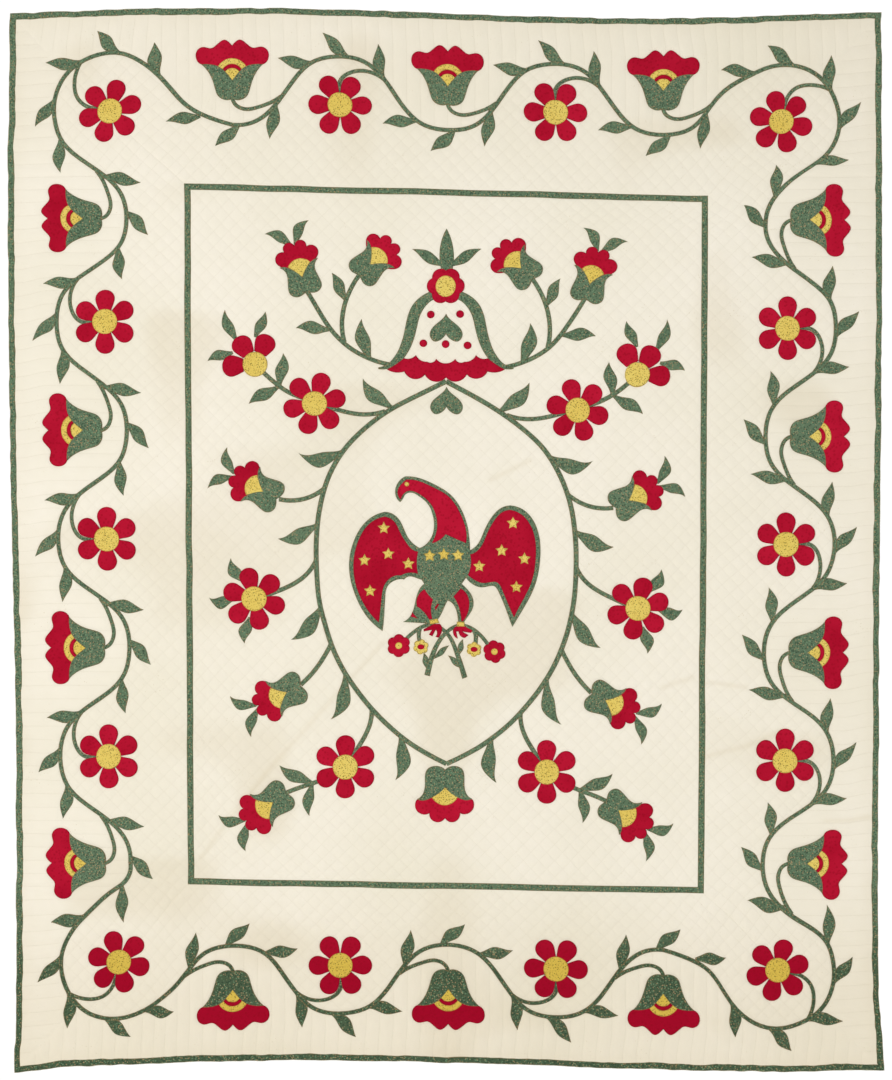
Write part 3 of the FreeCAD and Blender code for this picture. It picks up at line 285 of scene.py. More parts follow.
# Each slip is (sideways, more sideways, up, more up) of a border's middle, in mm, the
# "more" being at half a metre along the border.
TOP_SLIP = (4, 3, 1.5, 0)
BOTTOM_SLIP = (5, 2.5, 0.5, 5)
LEFT_SLIP = (-3, 4, 6, 7)
RIGHT_SLIP = (4.5, -1, -7.5, 4.5)
SLIP_SPAN = 500 * MM
# How far the corner block at each sign of x and z has slipped (sideways, up), in mm.
CORNER_SLIPS = {(-1, 1): (-6, 1.5), (1, 1): (3, -4.5), (-1, -1): (2.5, -2), (1, -1): (8, -2)}
# Where slips start and stop fading, in from the quilt's edge.
HELD_EDGE = (90 * MM, 20 * MM)
UPWARD_FADE = (730 * MM, 380 * MM)
SIDEWAYS_FADE = (530 * MM, 280 * MM)
END_FADE = (430 * MM, 330 * MM)
LEAN_REACH = 110 * MM
LEAN_HOLD = 15 * MM
WOBBLE = 1.2 * MM
WOBBLE_SIZE = 70 * MM
RIPPLE = 1.3 * MM
RIPPLE_SIZE = 24 * MM
RIPPLE_START = 8 * MM
RIPPLE_REACH = 60 * MM


def bow(shape, t):
    mean, swing, crest, half_wave = shape
    return (mean + swing * np.cos(math.pi * (t - crest) / half_wave)) * MM


def lean(shape, t):
    return (shape[0] + shape[1] * np.clip(t, -1.1, 1.1)) * MM


def near_edge(across, strip):
    """1 over the whole width of a border, fading out at the frame strip."""
    return ramp(np.abs(across), strip, strip + LEAN_REACH)


def near_strip(across, along, strip, strip_end):
    """1 on a frame strip, fading out on both of its sides and past its ends."""
    inner = ramp(np.abs(across), strip - LEAN_REACH, strip - LEAN_HOLD)
    outer = 1 - ramp(np.abs(across), strip, strip + LEAN_REACH)
    past = 1 - ramp(np.abs(along), strip_end, strip_end + LEAN_REACH)
    return inner * outer * past


def faded(across, edge, fade):
    """1 in the quilt's middle, fading out towards an edge and its opposite one."""
    return 1 - ramp(np.abs(across), edge - fade[0], edge - fade[1])


def slipped(x, z):
    """How far the borders and corner blocks have slipped across and along."""
    open_x = near_edge(x, STRIP_X) * faded(x, EDGE_X, HELD_EDGE)
    open_z = near_edge(z, STRIP_Z) * faded(z, EDGE_Z, HELD_EDGE)
    sideways = open_x * faded(z, EDGE_Z, SIDEWAYS_FADE)
    upward = open_x * faded(z, EDGE_Z, UPWARD_FADE)
    end = open_z * faded(x, EDGE_X, END_FADE)
    across = np.zeros(x.shape)
    up = np.zeros(x.shape)
    borders = (
        (x < 0, sideways, upward, LEFT_SLIP, z),
        (x > 0, sideways, upward, RIGHT_SLIP, z),
        (z > 0, end, end, TOP_SLIP, x),
        (z < 0, end, end, BOTTOM_SLIP, x),
    )
    for here, share_across, share_up, slip, along in borders:
        across += here * share_across * (slip[0] + slip[1] * along / SLIP_SPAN) * MM
        up += here * share_up * (slip[2] + slip[3] * along / SLIP_SPAN) * MM
    for (sign_x, sign_z), slip in CORNER_SLIPS.items():
        here = open_x * open_z * (x * sign_x > 0) * (z * sign_z > 0)
        across += here * slip[0] * MM
        up += here * slip[1] * MM
    return across, up


def out_of_true(x, z):
    """How far each place of the quilt has shifted sideways and up in its own plane."""
    u = x / EDGE_X
    v = z / EDGE_Z
    corner = LOWER_CORNER_DROP * MM * ramp(-u, CORNER_START_X, 1)
    high = bow(TOP_BOW, u)
    low = bow(BOTTOM_BOW, u) + corner
    up = near_edge(z, STRIP_Z) * np.where(z > 0, high, low)
    across = near_edge(x, STRIP_X) * np.where(x < 0, bow(LEFT_BOW, v), bow(RIGHT_BOW, v))
    flare = LOWER_CORNER_FLARE * MM * ramp(-v, CORNER_START_Z, 1) * ramp(u, CORNER_START_X, 1)
    slip_across, slip_up = slipped(x, z)
    across = across + slip_across + flare
    up = up + slip_up
    strip_up = np.where(z > 0, lean(TOP_LEAN, x / FIELD_X), lean(BOTTOM_LEAN, x / FIELD_X))
    strip_across = np.where(x < 0, lean(LEFT_LEAN, z / FIELD_Z), lean(RIGHT_LEAN, z / FIELD_Z))
    up = up + strip_up * near_strip(z, x, STRIP_Z, STRIP_X)
    across = across + strip_across * near_strip(x, z, STRIP_X, STRIP_Z)
    from_edge = np.minimum(EDGE_X - np.abs(x), EDGE_Z - np.abs(z))
    ripple = RIPPLE * (1 - ramp(from_edge, RIPPLE_START, RIPPLE_REACH))
    for amount, size, seed in ((WOBBLE, WOBBLE_SIZE, 11), (ripple, RIPPLE_SIZE, 13)):
        across = across + amount * soft_noise(x, z, size, size, seed)
        up = up + amount * soft_noise(x, z, size, size, seed + 1)
    return across, up


# ---- hang: waves, puckers and creases

# Creases left by folding, as runs of (x, z) from the quilt's middle in mm, and their height.
CREASES = (
    (((-147, -245), (-394, -518), (-581, -751)), 0.6),
    (((506, -348), (583, -324)), 0.9),
    (((614, -511), (777, -441)), 0.9),
    (((614, -338), (700, -338)), 0.8),
    (((887, -651), (996, -651)), 0.8),
    (((103, 135), (196, 182)), 0.8),
)
CREASE_WIDTH = 5 * MM
CREASE_FADE = 60 * MM
# Each wave is (height, more at the foot, lump width, lump height) in mm, and its seed.
FREE_WAVES = ((2.6, 0, 330, 420, 21), (0.5, 0.9, 95, 420, 22), (0.3, 0.9, 260, 70, 23))
PUCKERS = ((0.35, 0.55, 46, 42, 24), (0.22, 0, 19, 17, 25))
# Where the quilt comes to hang free of the rod, and where its foot begins and is full, as
# shares of its half height below the middle.
FREE_SPAN = (-0.86, -0.45)
FOOT_SPAN = (-0.2, 0.75)


def distance_to_run(x, z, points):
    """Distance from each place to a run of straight pieces."""
    best = np.full(x.shape, np.inf)
    for start, end in zip(points, points[1:]):
        ax, az = start[0] * MM, start[1] * MM
        dx, dz = end[0] * MM - ax, end[1] * MM - az
        share = np.clip(((x - ax) * dx + (z - az) * dz) / (dx * dx + dz * dz), 0, 1)
        best = np.minimum(best, np.hypot(x - ax - share * dx, z - az - share * dz))
    return best


def crease_field(x, z):
    """Height of the folding creases."""
    height = np.zeros(x.shape)
    for points, rise in CREASES:
        height += rise * MM * dent(distance_to_run(x, z, points), CREASE_WIDTH)
    return height * (0.6 + 0.6 * soft_noise(x, z, CREASE_FADE, CREASE_FADE, 26))


def waves(shapes, foot, x, z):
    """The sum of some waves, where foot goes from 0 to 1 down the quilt."""
    height = np.zeros(x.shape)
    for rise, more, wide, tall, seed in shapes:
        height += (rise + more * foot) * MM * soft_noise(x, z, wide * MM, tall * MM, seed)
    return height


def hang_field(x, z):
    """How far the quilt stands out from its flat plane: broad waves, ripples and puckers."""
    down = -z / EDGE_Z
    free = ramp(down, *FREE_SPAN)
    foot = ramp(down, *FOOT_SPAN)
    return free * waves(FREE_WAVES, foot, x, z) + waves(PUCKERS, foot, x, z) + crease_field(x, z)


WAVE = hang_field(GRID_X, GRID_Z)
SHIFT_X, SHIFT_Z = out_of_true(GRID_X, GRID_Z)


# ---- applique outlines

UNSOLID = frame["record"]["physics"]["no_collision_nodes"]
PATCH_NODES = sorted(name for name in UNSOLID if name in frame["nodes"])
FACE_TOLERANCE = 0.05 * MM
# Lengths in mm: steps along an outline, and how deep the rings of points inside it lie.
RIM_STEP = 3
TREE_STEP = 1.0
RING_DEPTHS = (0.5, 1.3, 3, 6.5, 11, 17, 23, 30, 38, 47)
RING_GAP = 0.8
DEPTH_SLACK = 0.95
DEPTH_ERROR = 0.02
SIEVE_CELL = 2


def front_rim(node):
    """Outlines of a CAD node's front faces, in mm: a list of islands, each a list of loops.

    A loop keeps the cloth on its left, seen from the front.
    """
    mesh = frame["nodes"][node].data
    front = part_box(node)[0].y + FACE_TOLERANCE
    spots = [(round(v.co.x / MM, 3), round((v.co.z - MID_Z) / MM, 3)) for v in mesh.vertices]
    places = list(dict.fromkeys(spots))
    numbers = {spot: number for number, spot in enumerate(places)}
    group = list(range(len(places)))

    def root(n):
        while group[n] != n:
            group[n] = group[group[n]]
            n = group[n]
        return n

    half_edges = set()
    for polygon in mesh.polygons:
        if max(mesh.vertices[c].co.y for c in polygon.vertices) > front:
            continue
        ring = [numbers[spots[c]] for c in polygon.vertices]
        for a, b in zip(ring, ring[1:] + ring[:1]):
            if a != b:
                half_edges.add((a, b))
                group[root(a)] = root(b)
    following = {}
    for a, b in sorted(half_edges):
        if (b, a) not in half_edges:
            following.setdefault(a, []).append(b)
    islands = {}
    for start in sorted(following):
        while following.get(start):
            loop = [start]
            point = following[start].pop()
            while point != start and following.get(point):
                loop.append(point)
                point = following[point].pop()
            if len(loop) > 2:
                islands.setdefault(root(start), []).append(np.array([places[n] for n in loop]))
    return [islands[key] for key in sorted(islands)]


def divide(loop, step):
    """The loop's points, with more added so that no two are further apart than step."""
    points = []
    for a, b in zip(loop, np.roll(loop, -1, axis=0)):
        count = max(1, math.ceil(np.hypot(*(b - a)) / step))
        for part in range(count):
            points.append(a + (b - a) * part / count)
    return np.array(points)


def inward(loop):
    """Unit normals that point into the cloth, at each point of a loop."""
    along = np.roll(loop, -1, axis=0) - np.roll(loop, 1, axis=0)
    along /= np.maximum(np.hypot(along[:, 0], along[:, 1]), 1e-9)[:, None]
    return np.stack([-along[:, 1], along[:, 0]], axis=1)


def tree_of(points):
    """A search tree of places in a plane."""
    tree = KDTree(len(points))
    for number, point in enumerate(points):
        tree.insert((*point, 0), number)
    tree.balance()
    return tree


def sieve_cell(point):
    return int(point[0] // SIEVE_CELL), int(point[1] // SIEVE_CELL)


def too_near(cells, point, gap):
    """Whether one of the points that are sorted into cells lies nearer than the gap."""
    column, row = sieve_cell(point)
    reach = int(gap // SIEVE_CELL) + 1
    for c in range(column - reach, column + reach + 1):
        for r in range(row - reach, row + reach + 1):
            if any(math.dist(point, other) < gap for other in cells.get((c, r), ())):
                return True
    return False


def fill_points(rims, tree):
    """Points inside an island, in rings that follow its outline inwards."""
    cells = {}
    inside = []
    before = 0
    for depth in RING_DEPTHS:
        gap = RING_GAP * (depth - before)
        before = depth
        room = False
        for point in (tuple(p) for rim in rims for p in rim + inward(rim) * depth):
            if tree.find((*point, 0))[2] < DEPTH_SLACK * depth - DEPTH_ERROR:
                continue
            room = True
            if not too_near(cells, point, gap):
                cells.setdefault(sieve_cell(point), []).append(point)
                inside.append(point)
        if not room:
            break
    return inside


def inside_loops(points, loops):
    """Which points an odd number of outlines goes round."""
    odd = np.zeros(len(points), bool)
    for loop in loops:
        for a, b in zip(loop, np.roll(loop, -1, axis=0)):
            crosses = (a[1] > points[:, 1]) != (b[1] > points[:, 1])
            if crosses.any():
                reach = a[0] + (points[:, 1] - a[1]) / (b[1] - a[1]) * (b[0] - a[0])
                odd ^= crosses & (points[:, 0] < reach)
    return odd


def cut_patch(loops):
    """One island's points, triangles and distances of its points from its outline, in mm."""
    rims = [divide(loop, RIM_STEP) for loop in loops]
    tree = tree_of(np.concatenate([divide(loop, TREE_STEP) for loop in loops]))
    points = [Vector(p) for rim in rims for p in rim]
    edges = []
    start = 0
    for rim in rims:
        count = len(rim)
        edges += [(start + n, start + (n + 1) % count) for n in range(count)]
        start += count
    points += [Vector(p) for p in fill_points(rims, tree)]
    done = geometry.delaunay_2d_cdt(points, edges, [], 1, 1e-4, True)
    flat = np.array([v[:] for v in done[0]])
    faces = np.array([f[:] for f in done[2]])
    faces = faces[inside_loops(flat[faces].mean(axis=1), loops)]
    rim_distance = np.array([tree.find((*p, 0))[2] for p in flat])
    for number, origins in enumerate(done[3]):
        if any(origin < start for origin in origins):
            rim_distance[number] = 0
    used, faces_of_used = np.unique(faces, return_inverse=True)
    return flat[used], faces_of_used.reshape(faces.shape), rim_distance[used]


def cut_node(node, seed):
    """All the patches of a CAD node: points, triangles, rim distance and a tone per patch."""
    tones = np.random.RandomState(seed)
    patches = []
    start = 0
    for loops in front_rim(node):
        flat, triangles, rim = cut_patch(loops)
        if len(triangles):
            tone = np.full(len(flat), tones.uniform(0, 1))
            patches.append((flat, triangles + start, rim, tone))
            start += len(flat)
    return tuple(np.concatenate(part) for part in zip(*patches))


PATCHES = {node: cut_node(node, seed) for seed, node in enumerate(PATCH_NODES, start=100)}


# ---- where the patches lie on the grid


def flat_tree(nodes):
    """A ray-casting tree of the flat patches of some nodes, in mm."""
    points, faces = [], []
    for node in nodes:
        flat, triangles, _, _ = PATCHES[node]
        faces += [tuple(int(c) + len(points) for c in t) for t in triangles]
        points += [(p[0], 0, p[1]) for p in flat]
    return BVHTree.FromPolygons(points, faces)


def covers(tree, x, z):
    """Whether a tree's patches lie over a place, in mm."""
    return tree.ray_cast(Vector((x, -1, z)), Vector((0, 1, 0)))[0] is not None


def hits(nodes):
    """Which of the grid's points lie under the patches of these nodes."""
    tree = flat_tree(nodes)
    under = np.zeros(GRID_X.shape, bool)
    for row, column in np.ndindex(under.shape):
        under[row, column] = covers(tree, LINE_X[column] / MM, LINE_Z[row] / MM)
    return under


def distance_field(points, wanted):
    """Distance in metres from each wanted grid point to the nearest of these points, in mm."""
    tree = tree_of(points)
    away = np.full(GRID_X.shape, 1.0)
    for row, column in zip(*np.nonzero(wanted)):
        spot = (LINE_X[column] / MM, LINE_Z[row] / MM, 0)
        away[row, column] = tree.find(spot)[2] * MM
    return away


UNDER = hits(PATCH_NODES)
OUTLINE = np.concatenate([PATCHES[n][0][PATCHES[n][2] == 0] for n in PATCH_NODES])
FROM_OUTLINE = distance_field(OUTLINE, ~UNDER)
OPEN_POINTS = np.stack([GRID_X[~UNDER], GRID_Z[~UNDER]], axis=1) / MM
DEPTH_IN = np.where(UNDER, distance_field(OPEN_POINTS, UNDER), 0)
VINE = hits(["border_vine"])


def scan_clear(field):
    """True down each column of a field until its first hit, within the border's depth."""
    clear = np.cumsum(field, axis=0) == 0
    clear[BORDER_CELLS + 1:] = False
    return clear


FROM_SIDES = np.stack([COLUMN, COLUMNS - COLUMN, ROW, ROWS - ROW])
NEAREST_SIDE = FROM_SIDES.argmin(axis=0)
FROM_EDGE_CELLS = FROM_SIDES.min(axis=0)
ENDS = NEAREST_SIDE >= 2
CLEAR_UP = scan_clear(VINE) | scan_clear(VINE[::-1])[::-1]
CLEAR_ACROSS = scan_clear(VINE.T).T | scan_clear(VINE.T[::-1])[::-1].T
KEYED = np.where(ENDS, CLEAR_UP, CLEAR_ACROSS) & (FROM_EDGE_CELLS < BORDER_CELLS)


# ---- one quilted square, swollen

PUFF_CELLS = 24
PUFF_WIDTH = 0.3
PUFF_SLACK = 0.06
PUFF_PRESSURE = 4.0
PUFF_QUALITY = 8
PUFF_FRAMES = 24


def quilted_square():
    """A flat square of cloth whose four stitched sides are a vertex group."""
    line = np.linspace(0, PUFF_WIDTH, PUFF_CELLS + 1)
    x, y = np.meshgrid(line, line)
    points = np.stack([x.ravel(), y.ravel(), 0 * x.ravel()], axis=1)
    number = np.arange(len(points)).reshape(x.shape)
    mesh = bpy.data.meshes.new("quilted_square")
    mesh.from_pydata(points.tolist(), [], quads(*x.shape).tolist())
    square = bpy.data.objects.new("quilted_square", mesh)
    bpy.context.scene.collection.objects.link(square)
    stitched = np.concatenate([number[0], number[-1], number[:, 0], number[:, -1]])
    square.vertex_groups.new(name="stitched").add(stitched.tolist(), 1, "REPLACE")
    return square


def simulate_puff():
    """Height over a quilted square, 0 at its stitches and 1 at its crown.

    Blender's Cloth blows up the slack square while its four sides are held.
    """
    square = quilted_square()
    cloth = square.modifiers.new("swell", "CLOTH")
    cloth.settings.quality = PUFF_QUALITY
    cloth.settings.vertex_group_mass = "stitched"
    cloth.settings.effector_weights.gravity = 0
    cloth.settings.use_pressure = True
    cloth.settings.uniform_pressure_force = PUFF_PRESSURE
    cloth.settings.shrink_min = -PUFF_SLACK
    cloth.point_cache.frame_end = PUFF_FRAMES
    for step in range(1, PUFF_FRAMES + 1):
        bpy.context.scene.frame_set(step)
    graph = bpy.context.evaluated_depsgraph_get()
    swollen = square.evaluated_get(graph).to_mesh()
    spots = np.empty(len(swollen.vertices) * 3)
    swollen.vertices.foreach_get("co", spots)
    height = np.abs(spots[2::3].reshape(PUFF_CELLS + 1, PUFF_CELLS + 1))
    mesh = square.data
    bpy.data.objects.remove(square)
    bpy.data.meshes.remove(mesh)
    bpy.context.scene.frame_set(1)
    return height / height.max()


PUFF = simulate_puff()


def puff_height(a, b):
    """The simulated height at phases a and b of the two families of stitch lines."""
    across = (a - np.floor(a)) * PUFF_CELLS
    up = (b - np.floor(b)) * PUFF_CELLS
    return look_up(PUFF, up, across)


# ---- quilting relief

HATCH_PUFF = 1.5 * MM
KEY_PUFF = 1.5 * MM
STRIP_PUFF = 1.1 * MM
UNEVEN_SIZE = 60 * MM
SEAM_DIP = 0.7 * MM
SEAM_WIDTH = 3 * MM
MITRE_DIP = 0.6 * MM
MITRE_WIDTH = 4 * MM
OUTLINE_DIP = 0.7 * MM
OUTLINE_WIDTH = 6 * MM
# Where the quilting's relief rises, out from a patch and in from the quilt's edge.
OUTLINE_RISE = (-2 * MM, 10 * MM)
EDGE_RISE = (8 * MM, 30 * MM)
PRESSED_BACK = 0.9 * MM
PILLOW = 0.9 * MM
PILLOW_REACH = 9 * MM
BACK_SHARE = 0.8
BACK_SUNK = 0.5 * MM
EDGE_PINCH = 1.2 * MM
EDGE_PINCH_REACH = 20 * MM

FROM_EDGE = np.minimum(EDGE_X - np.abs(GRID_X), EDGE_Z - np.abs(GRID_Z))
HATCH_A = (COLUMN + ROW) / HATCH_CELLS
HATCH_B = (COLUMN - ROW) / HATCH_CELLS
KEY_PHASE = np.where(ENDS, COLUMN - COLUMNS // 2, ROW - ROWS // 2) / KEY_CELLS


def quilting_relief():
    """Puffs between the lines of quilting, from 0 on a line up to the puff's height."""
    square = puff_height(HATCH_A, HATCH_B)
    channel = puff_height(KEY_PHASE, np.full(KEY_PHASE.shape, 0.5))
    relief = np.where(KEYED, KEY_PUFF * channel, HATCH_PUFF * square)
    relief = relief * (0.85 + 0.3 * soft_noise(GRID_X, GRID_Z, UNEVEN_SIZE, UNEVEN_SIZE, 31))
    into_strip = FROM_EDGE_CELLS - BORDER_CELLS
    in_strip = (into_strip >= 0) & (into_strip <= STRIP_CELLS)
    strip_puff = STRIP_PUFF * np.sin(math.pi * into_strip / STRIP_CELLS)
    relief = np.where(in_strip, strip_puff, relief)
    from_seam = np.minimum(np.abs(into_strip), np.abs(into_strip - STRIP_CELLS)) * CELL
    relief = relief - SEAM_DIP * dent(from_seam, SEAM_WIDTH)
    two_nearest = np.sort(FROM_SIDES, axis=0)[:2]
    from_mitre = (two_nearest[1] - two_nearest[0]) * CELL
    return relief - np.where(into_strip < 0, MITRE_DIP * dent(from_mitre, MITRE_WIDTH), 0)


def cloth_relief():
    """Relief of the cloth top: quilting, sunk round each patch and pressed flat under it."""
    relief = quilting_relief() * ramp(FROM_OUTLINE, *OUTLINE_RISE)
    relief = relief * ramp(FROM_EDGE, *EDGE_RISE)
    relief = relief - OUTLINE_DIP * dent(FROM_OUTLINE, OUTLINE_WIDTH)
    return np.where(UNDER, -PRESSED_BACK, relief)


PINCH = EDGE_PINCH * (1 - ramp(FROM_EDGE, 0, EDGE_PINCH_REACH))
RELIEF = cloth_relief()
TOP_Y = FRONT_Y - WAVE - RELIEF + PINCH
PILLOW_RISE = PILLOW * (1 - np.exp(-DEPTH_IN / PILLOW_REACH))
BACK_RELIEF = BACK_SHARE * quilting_relief() - BACK_SUNK
BACKING_Y = BACK_Y - WAVE + BACK_RELIEF - PINCH


# ---- mesh helpers


def place(x, z, y):
    """Points of the quilt in the frame's axes, shifted as the quilt has gone out of true."""
    shifted_x = x + sample(SHIFT_X, x, z)
    shifted_z = z + sample(SHIFT_Z, x, z)
    return np.stack([shifted_x, y, MID_Z + shifted_z], axis=1)


def quilt_piece(name, slot, node, points, faces, floats, vectors=None):
    """A smooth piece that moves with the quilt and stands for a CAD node.

    Its material is that of the slot and reads its named point attributes.
    """
    mesh = bpy.data.meshes.new(name)
    mesh.from_pydata(points.tolist(), [], faces.tolist())
    mesh.materials.append(SLOTS[slot])
    mesh.polygons.foreach_set("use_smooth", np.ones(len(mesh.polygons), bool))
    for label, values in floats.items():
        layer = mesh.attributes.new(label, "FLOAT", "POINT")
        layer.data.foreach_set("value", np.asarray(values, np.float32))
    for label, values in (vectors or {}).items():
        layer = mesh.attributes.new(label, "FLOAT_VECTOR", "POINT")
        layer.data.foreach_set("vector", np.asarray(values, np.float32).ravel())
    mesh.update()
    piece = bpy.data.objects.new(name, mesh)
    bpy.context.scene.collection.objects.link(piece)
    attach(piece, "quilt")
    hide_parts(node)
    return piece


# ---- materials


def linear(red, green, blue):
    """A display colour from 0 to 255 as the linear colour that shaders take."""
    shares = [value / 255 for value in (red, green, blue)]
    return (*(c / 12.92 if c <= 0.04045 else ((c + 0.055) / 1.055) ** 2.4 for c in shares), 1)


THREAD_PITCH = 0.9 * MM


class Paint:
    """A material under construction: each method adds nodes and returns an output socket."""

    def __init__(self, name, roughness, specular=0.25, sheen=0.0):
        self.material = bpy.data.materials.new(name)
        self.material.use_nodes = True
        self.tree = self.material.node_tree
        self.shader = self.tree.nodes["Principled BSDF"]
        gloss = {"Roughness": roughness, "Specular IOR Level": specular}
        self.fill(self.shader, {**gloss, "Sheen Weight": sheen, "Sheen Roughness": 0.5})
        self.spot = self.add("ShaderNodeTexCoord").outputs["Object"]

    def fill(self, node, inputs):
        """Give each input a link, if it is to come from another node, or a value."""
        for label, value in inputs.items():
            if isinstance(value, bpy.types.NodeSocket):
                self.tree.links.new(value, node.inputs[label])
            else:
                node.inputs[label].default_value = value

    def add(self, kind, inputs=None, **settings):
        node = self.tree.nodes.new(kind)
        for label, value in settings.items():
            setattr(node, label, value)
        self.fill(node, inputs or {})
        return node

    def sum(self, operation, *values):
        node = self.add("ShaderNodeMath", dict(enumerate(values)), operation=operation)
        return node.outputs[0]

    def scaled(self, x, y, z):
        """The object's own coordinates, stretched along each axis."""
        node = self.add("ShaderNodeMapping", {"Vector": self.spot, "Scale": (x, y, z)})
        return node.outputs["Vector"]

    def noise(self, scale, detail=2.0, vector=None):
        inputs = {"Vector": vector or self.spot, "Scale": scale, "Detail": detail}
        return self.add("ShaderNodeTexNoise", inputs).outputs["Fac"]

    def specks(self, scale, size):
        """1 in small round specks, one to a cell, and 0 between them."""
        cells = self.add("ShaderNodeTexVoronoi", {"Vector": self.spot, "Scale": scale})
        return self.span(cells.outputs["Distance"], size, size * 0.7)

    def span(self, value, low, high, at_low=0.0, at_high=1.0):
        """A value's place between low and high, as a share between two others."""
        inputs = {"Value": value, "From Min": low, "From Max": high}
        inputs.update({"To Min": at_low, "To Max": at_high})
        return self.add("ShaderNodeMapRange", inputs).outputs["Result"]

    def mix(self, share, first, second):
        """From a first colour to a second, each a socket or a display colour."""
        ends = [linear(*c) if isinstance(c, tuple) else c for c in (first, second)]
        inputs = {"Factor": share, 6: ends[0], 7: ends[1]}
        return self.add("ShaderNodeMix", inputs, data_type="RGBA").outputs[2]

    def value(self, name):
        """A point attribute of the mesh as a number."""
        return self.add("ShaderNodeAttribute", attribute_name=name).outputs["Fac"]

    def split(self, vector):
        """The three numbers of a vector."""
        return self.add("ShaderNodeSeparateXYZ", {"Vector": vector}).outputs

    def bump(self, height, distance, strength=1.0, under=None):
        inputs = {"Height": height, "Distance": distance, "Strength": strength}
        if under is not None:
            inputs["Normal"] = under
        return self.add("ShaderNodeBump", inputs).outputs["Normal"]

    def weave(self):
        """Bump of plain weave: threads both ways, with uneven slubs."""
        inputs = {"Vector": self.spot, "Scale": 2 * math.pi / 20 / THREAD_PITCH}
        inputs.update({"Distortion": 0.6, "Detail Scale": 0.4})
        across, up = (
            self.add("ShaderNodeTexWave", inputs, bands_direction=axis).outputs["Fac"]
            for axis in "XZ"
        )
        threads = self.sum("MULTIPLY", across, up)
        slubs = self.noise(700, 2.0, self.scaled(1, 1, 0.25))
        return self.bump(self.sum("ADD", threads, slubs), 0.12 * MM, 0.35)

    def finish(self, colour, **inputs):
        self.fill(self.shader, {"Base Color": colour, **inputs})
        return self.material


STITCH_HALF_WIDTH = 0.45
STITCH_PITCH = 3.4


def stitches(paint, name, spacing):
    """1 on the running stitches of one family of quilting lines, 0 elsewhere."""
    source = paint.add("ShaderNodeAttribute", attribute_name=name)
    phase, along, weight = paint.split(source.outputs["Vector"])[:3]
    nearest = paint.sum("ROUND", phase)
    away = paint.sum("ABSOLUTE", paint.sum("SUBTRACT", phase, nearest))
    close = paint.span(away, STITCH_HALF_WIDTH / spacing, STITCH_HALF_WIDTH * 0.5 / spacing)
    turn = paint.sum("SINE", paint.sum("MULTIPLY", along, 2 * math.pi / STITCH_PITCH))
    dash = paint.span(turn, -0.35, 0.1)
    return paint.sum("MULTIPLY", paint.sum("MULTIPLY", close, dash), weight)


HATCH_SPACING = HATCH_CELLS * CELL / math.sqrt(2) / MM


def quilted_cotton(name, clean, aged, thread):
    """Plain cotton, unevenly aged, with rows of hand quilting, soil at its edges and stains,
    darker along its folds, and painted shade towards the quilt's bottom, top and right side.
    """
    paint = Paint(name, 0.92, specular=0.12, sheen=0.12)
    broad = paint.span(paint.noise(2.2, 4.0), 0.35, 0.7)
    small = paint.span(paint.noise(38, 3.0), 0.3, 0.75, 0.0, 0.35)
    colour = paint.mix(broad, clean, aged)
    colour = paint.mix(small, colour, aged)
    patchy = paint.span(paint.noise(14), 0.55, 0.7, 0, 0.5)
    flecks = paint.sum("MULTIPLY", paint.specks(120, 0.16), patchy)
    colour = paint.mix(flecks, colour, (196, 180, 142))
    # Soil and shade: soil at the edges and in stains, darker along the creases, and painted
    # shade towards the quilt's bottom, top and right side.
    colour = paint.mix(paint.value("soil_and_shade"), colour, (206, 190, 156))
    rows_a = stitches(paint, "thread_a", HATCH_SPACING)
    rows_b = stitches(paint, "thread_b", HATCH_SPACING)
    rows = paint.sum("MAXIMUM", rows_a, rows_b)
    colour = paint.mix(paint.sum("MULTIPLY", rows, 0.42), colour, thread)
    normal = paint.bump(rows, 0.35 * MM, 0.8, paint.weave())
    return paint.finish(colour, Normal=normal)


# Where the painted shade at the quilt's foot starts and where it is full.
FOOT_SHADE_START = MID_Z - 800 * MM
FOOT_SHADE_FULL = MID_Z - 1000 * MM


def dyed_cotton(name, deep, worn, edge, foot, prints, sheen=0.1, specular=0.15):
    """Dyed or printed cotton whose tone differs a little from patch to patch.

    Towards the quilt's foot the colour darkens to foot, as painted shade for light that falls
    off down the quilt. prints lists (colour, cells to the metre, speck size, share of the
    speck's strength).
    """
    paint = Paint(name, 0.88, specular=specular, sheen=sheen)
    uneven = paint.span(paint.noise(16, 3.0), 0.3, 0.75, 0, 0.55)
    faded = paint.sum("ADD", uneven, paint.sum("MULTIPLY", paint.value("tone"), 0.45))
    colour = paint.mix(faded, deep, worn)
    # Painted shade: the colour darkens to the foot colour towards the quilt's bottom.
    low = paint.span(paint.split(paint.spot)["Z"], FOOT_SHADE_START, FOOT_SHADE_FULL, 0, 0.85)
    colour = paint.mix(low, colour, foot)
    for speck, scale, size, strength in prints:
        shape = paint.specks(scale, size)
        colour = paint.mix(paint.sum("MULTIPLY", shape, strength), colour, speck)
    rim = paint.span(paint.value("rim"), 0.8, 2.6, 1, 0)
    rubbed = paint.sum("MULTIPLY", rim, paint.span(paint.noise(90, 3.0), 0.4, 0.62, 0.3, 0.85))
    colour = paint.mix(rubbed, colour, edge)
    return paint.finish(colour, Normal=paint.weave())


def lacquered_steel(name):
    """Black lacquer on steel, rubbed to bare metal here and there."""
    paint = Paint(name, 0.42, specular=0.5)
    worn = paint.span(paint.noise(60, 5.0), 0.62, 0.7)
    colour = paint.mix(worn, (38, 38, 40), (96, 94, 92))
    rough = paint.span(paint.noise(220, 3.0), 0.3, 0.7, 0.34, 0.55)
    pitted = paint.bump(paint.noise(900, 2.0), 0.05 * MM, 0.5)
    return paint.finish(colour, Normal=pitted, Roughness=rough)


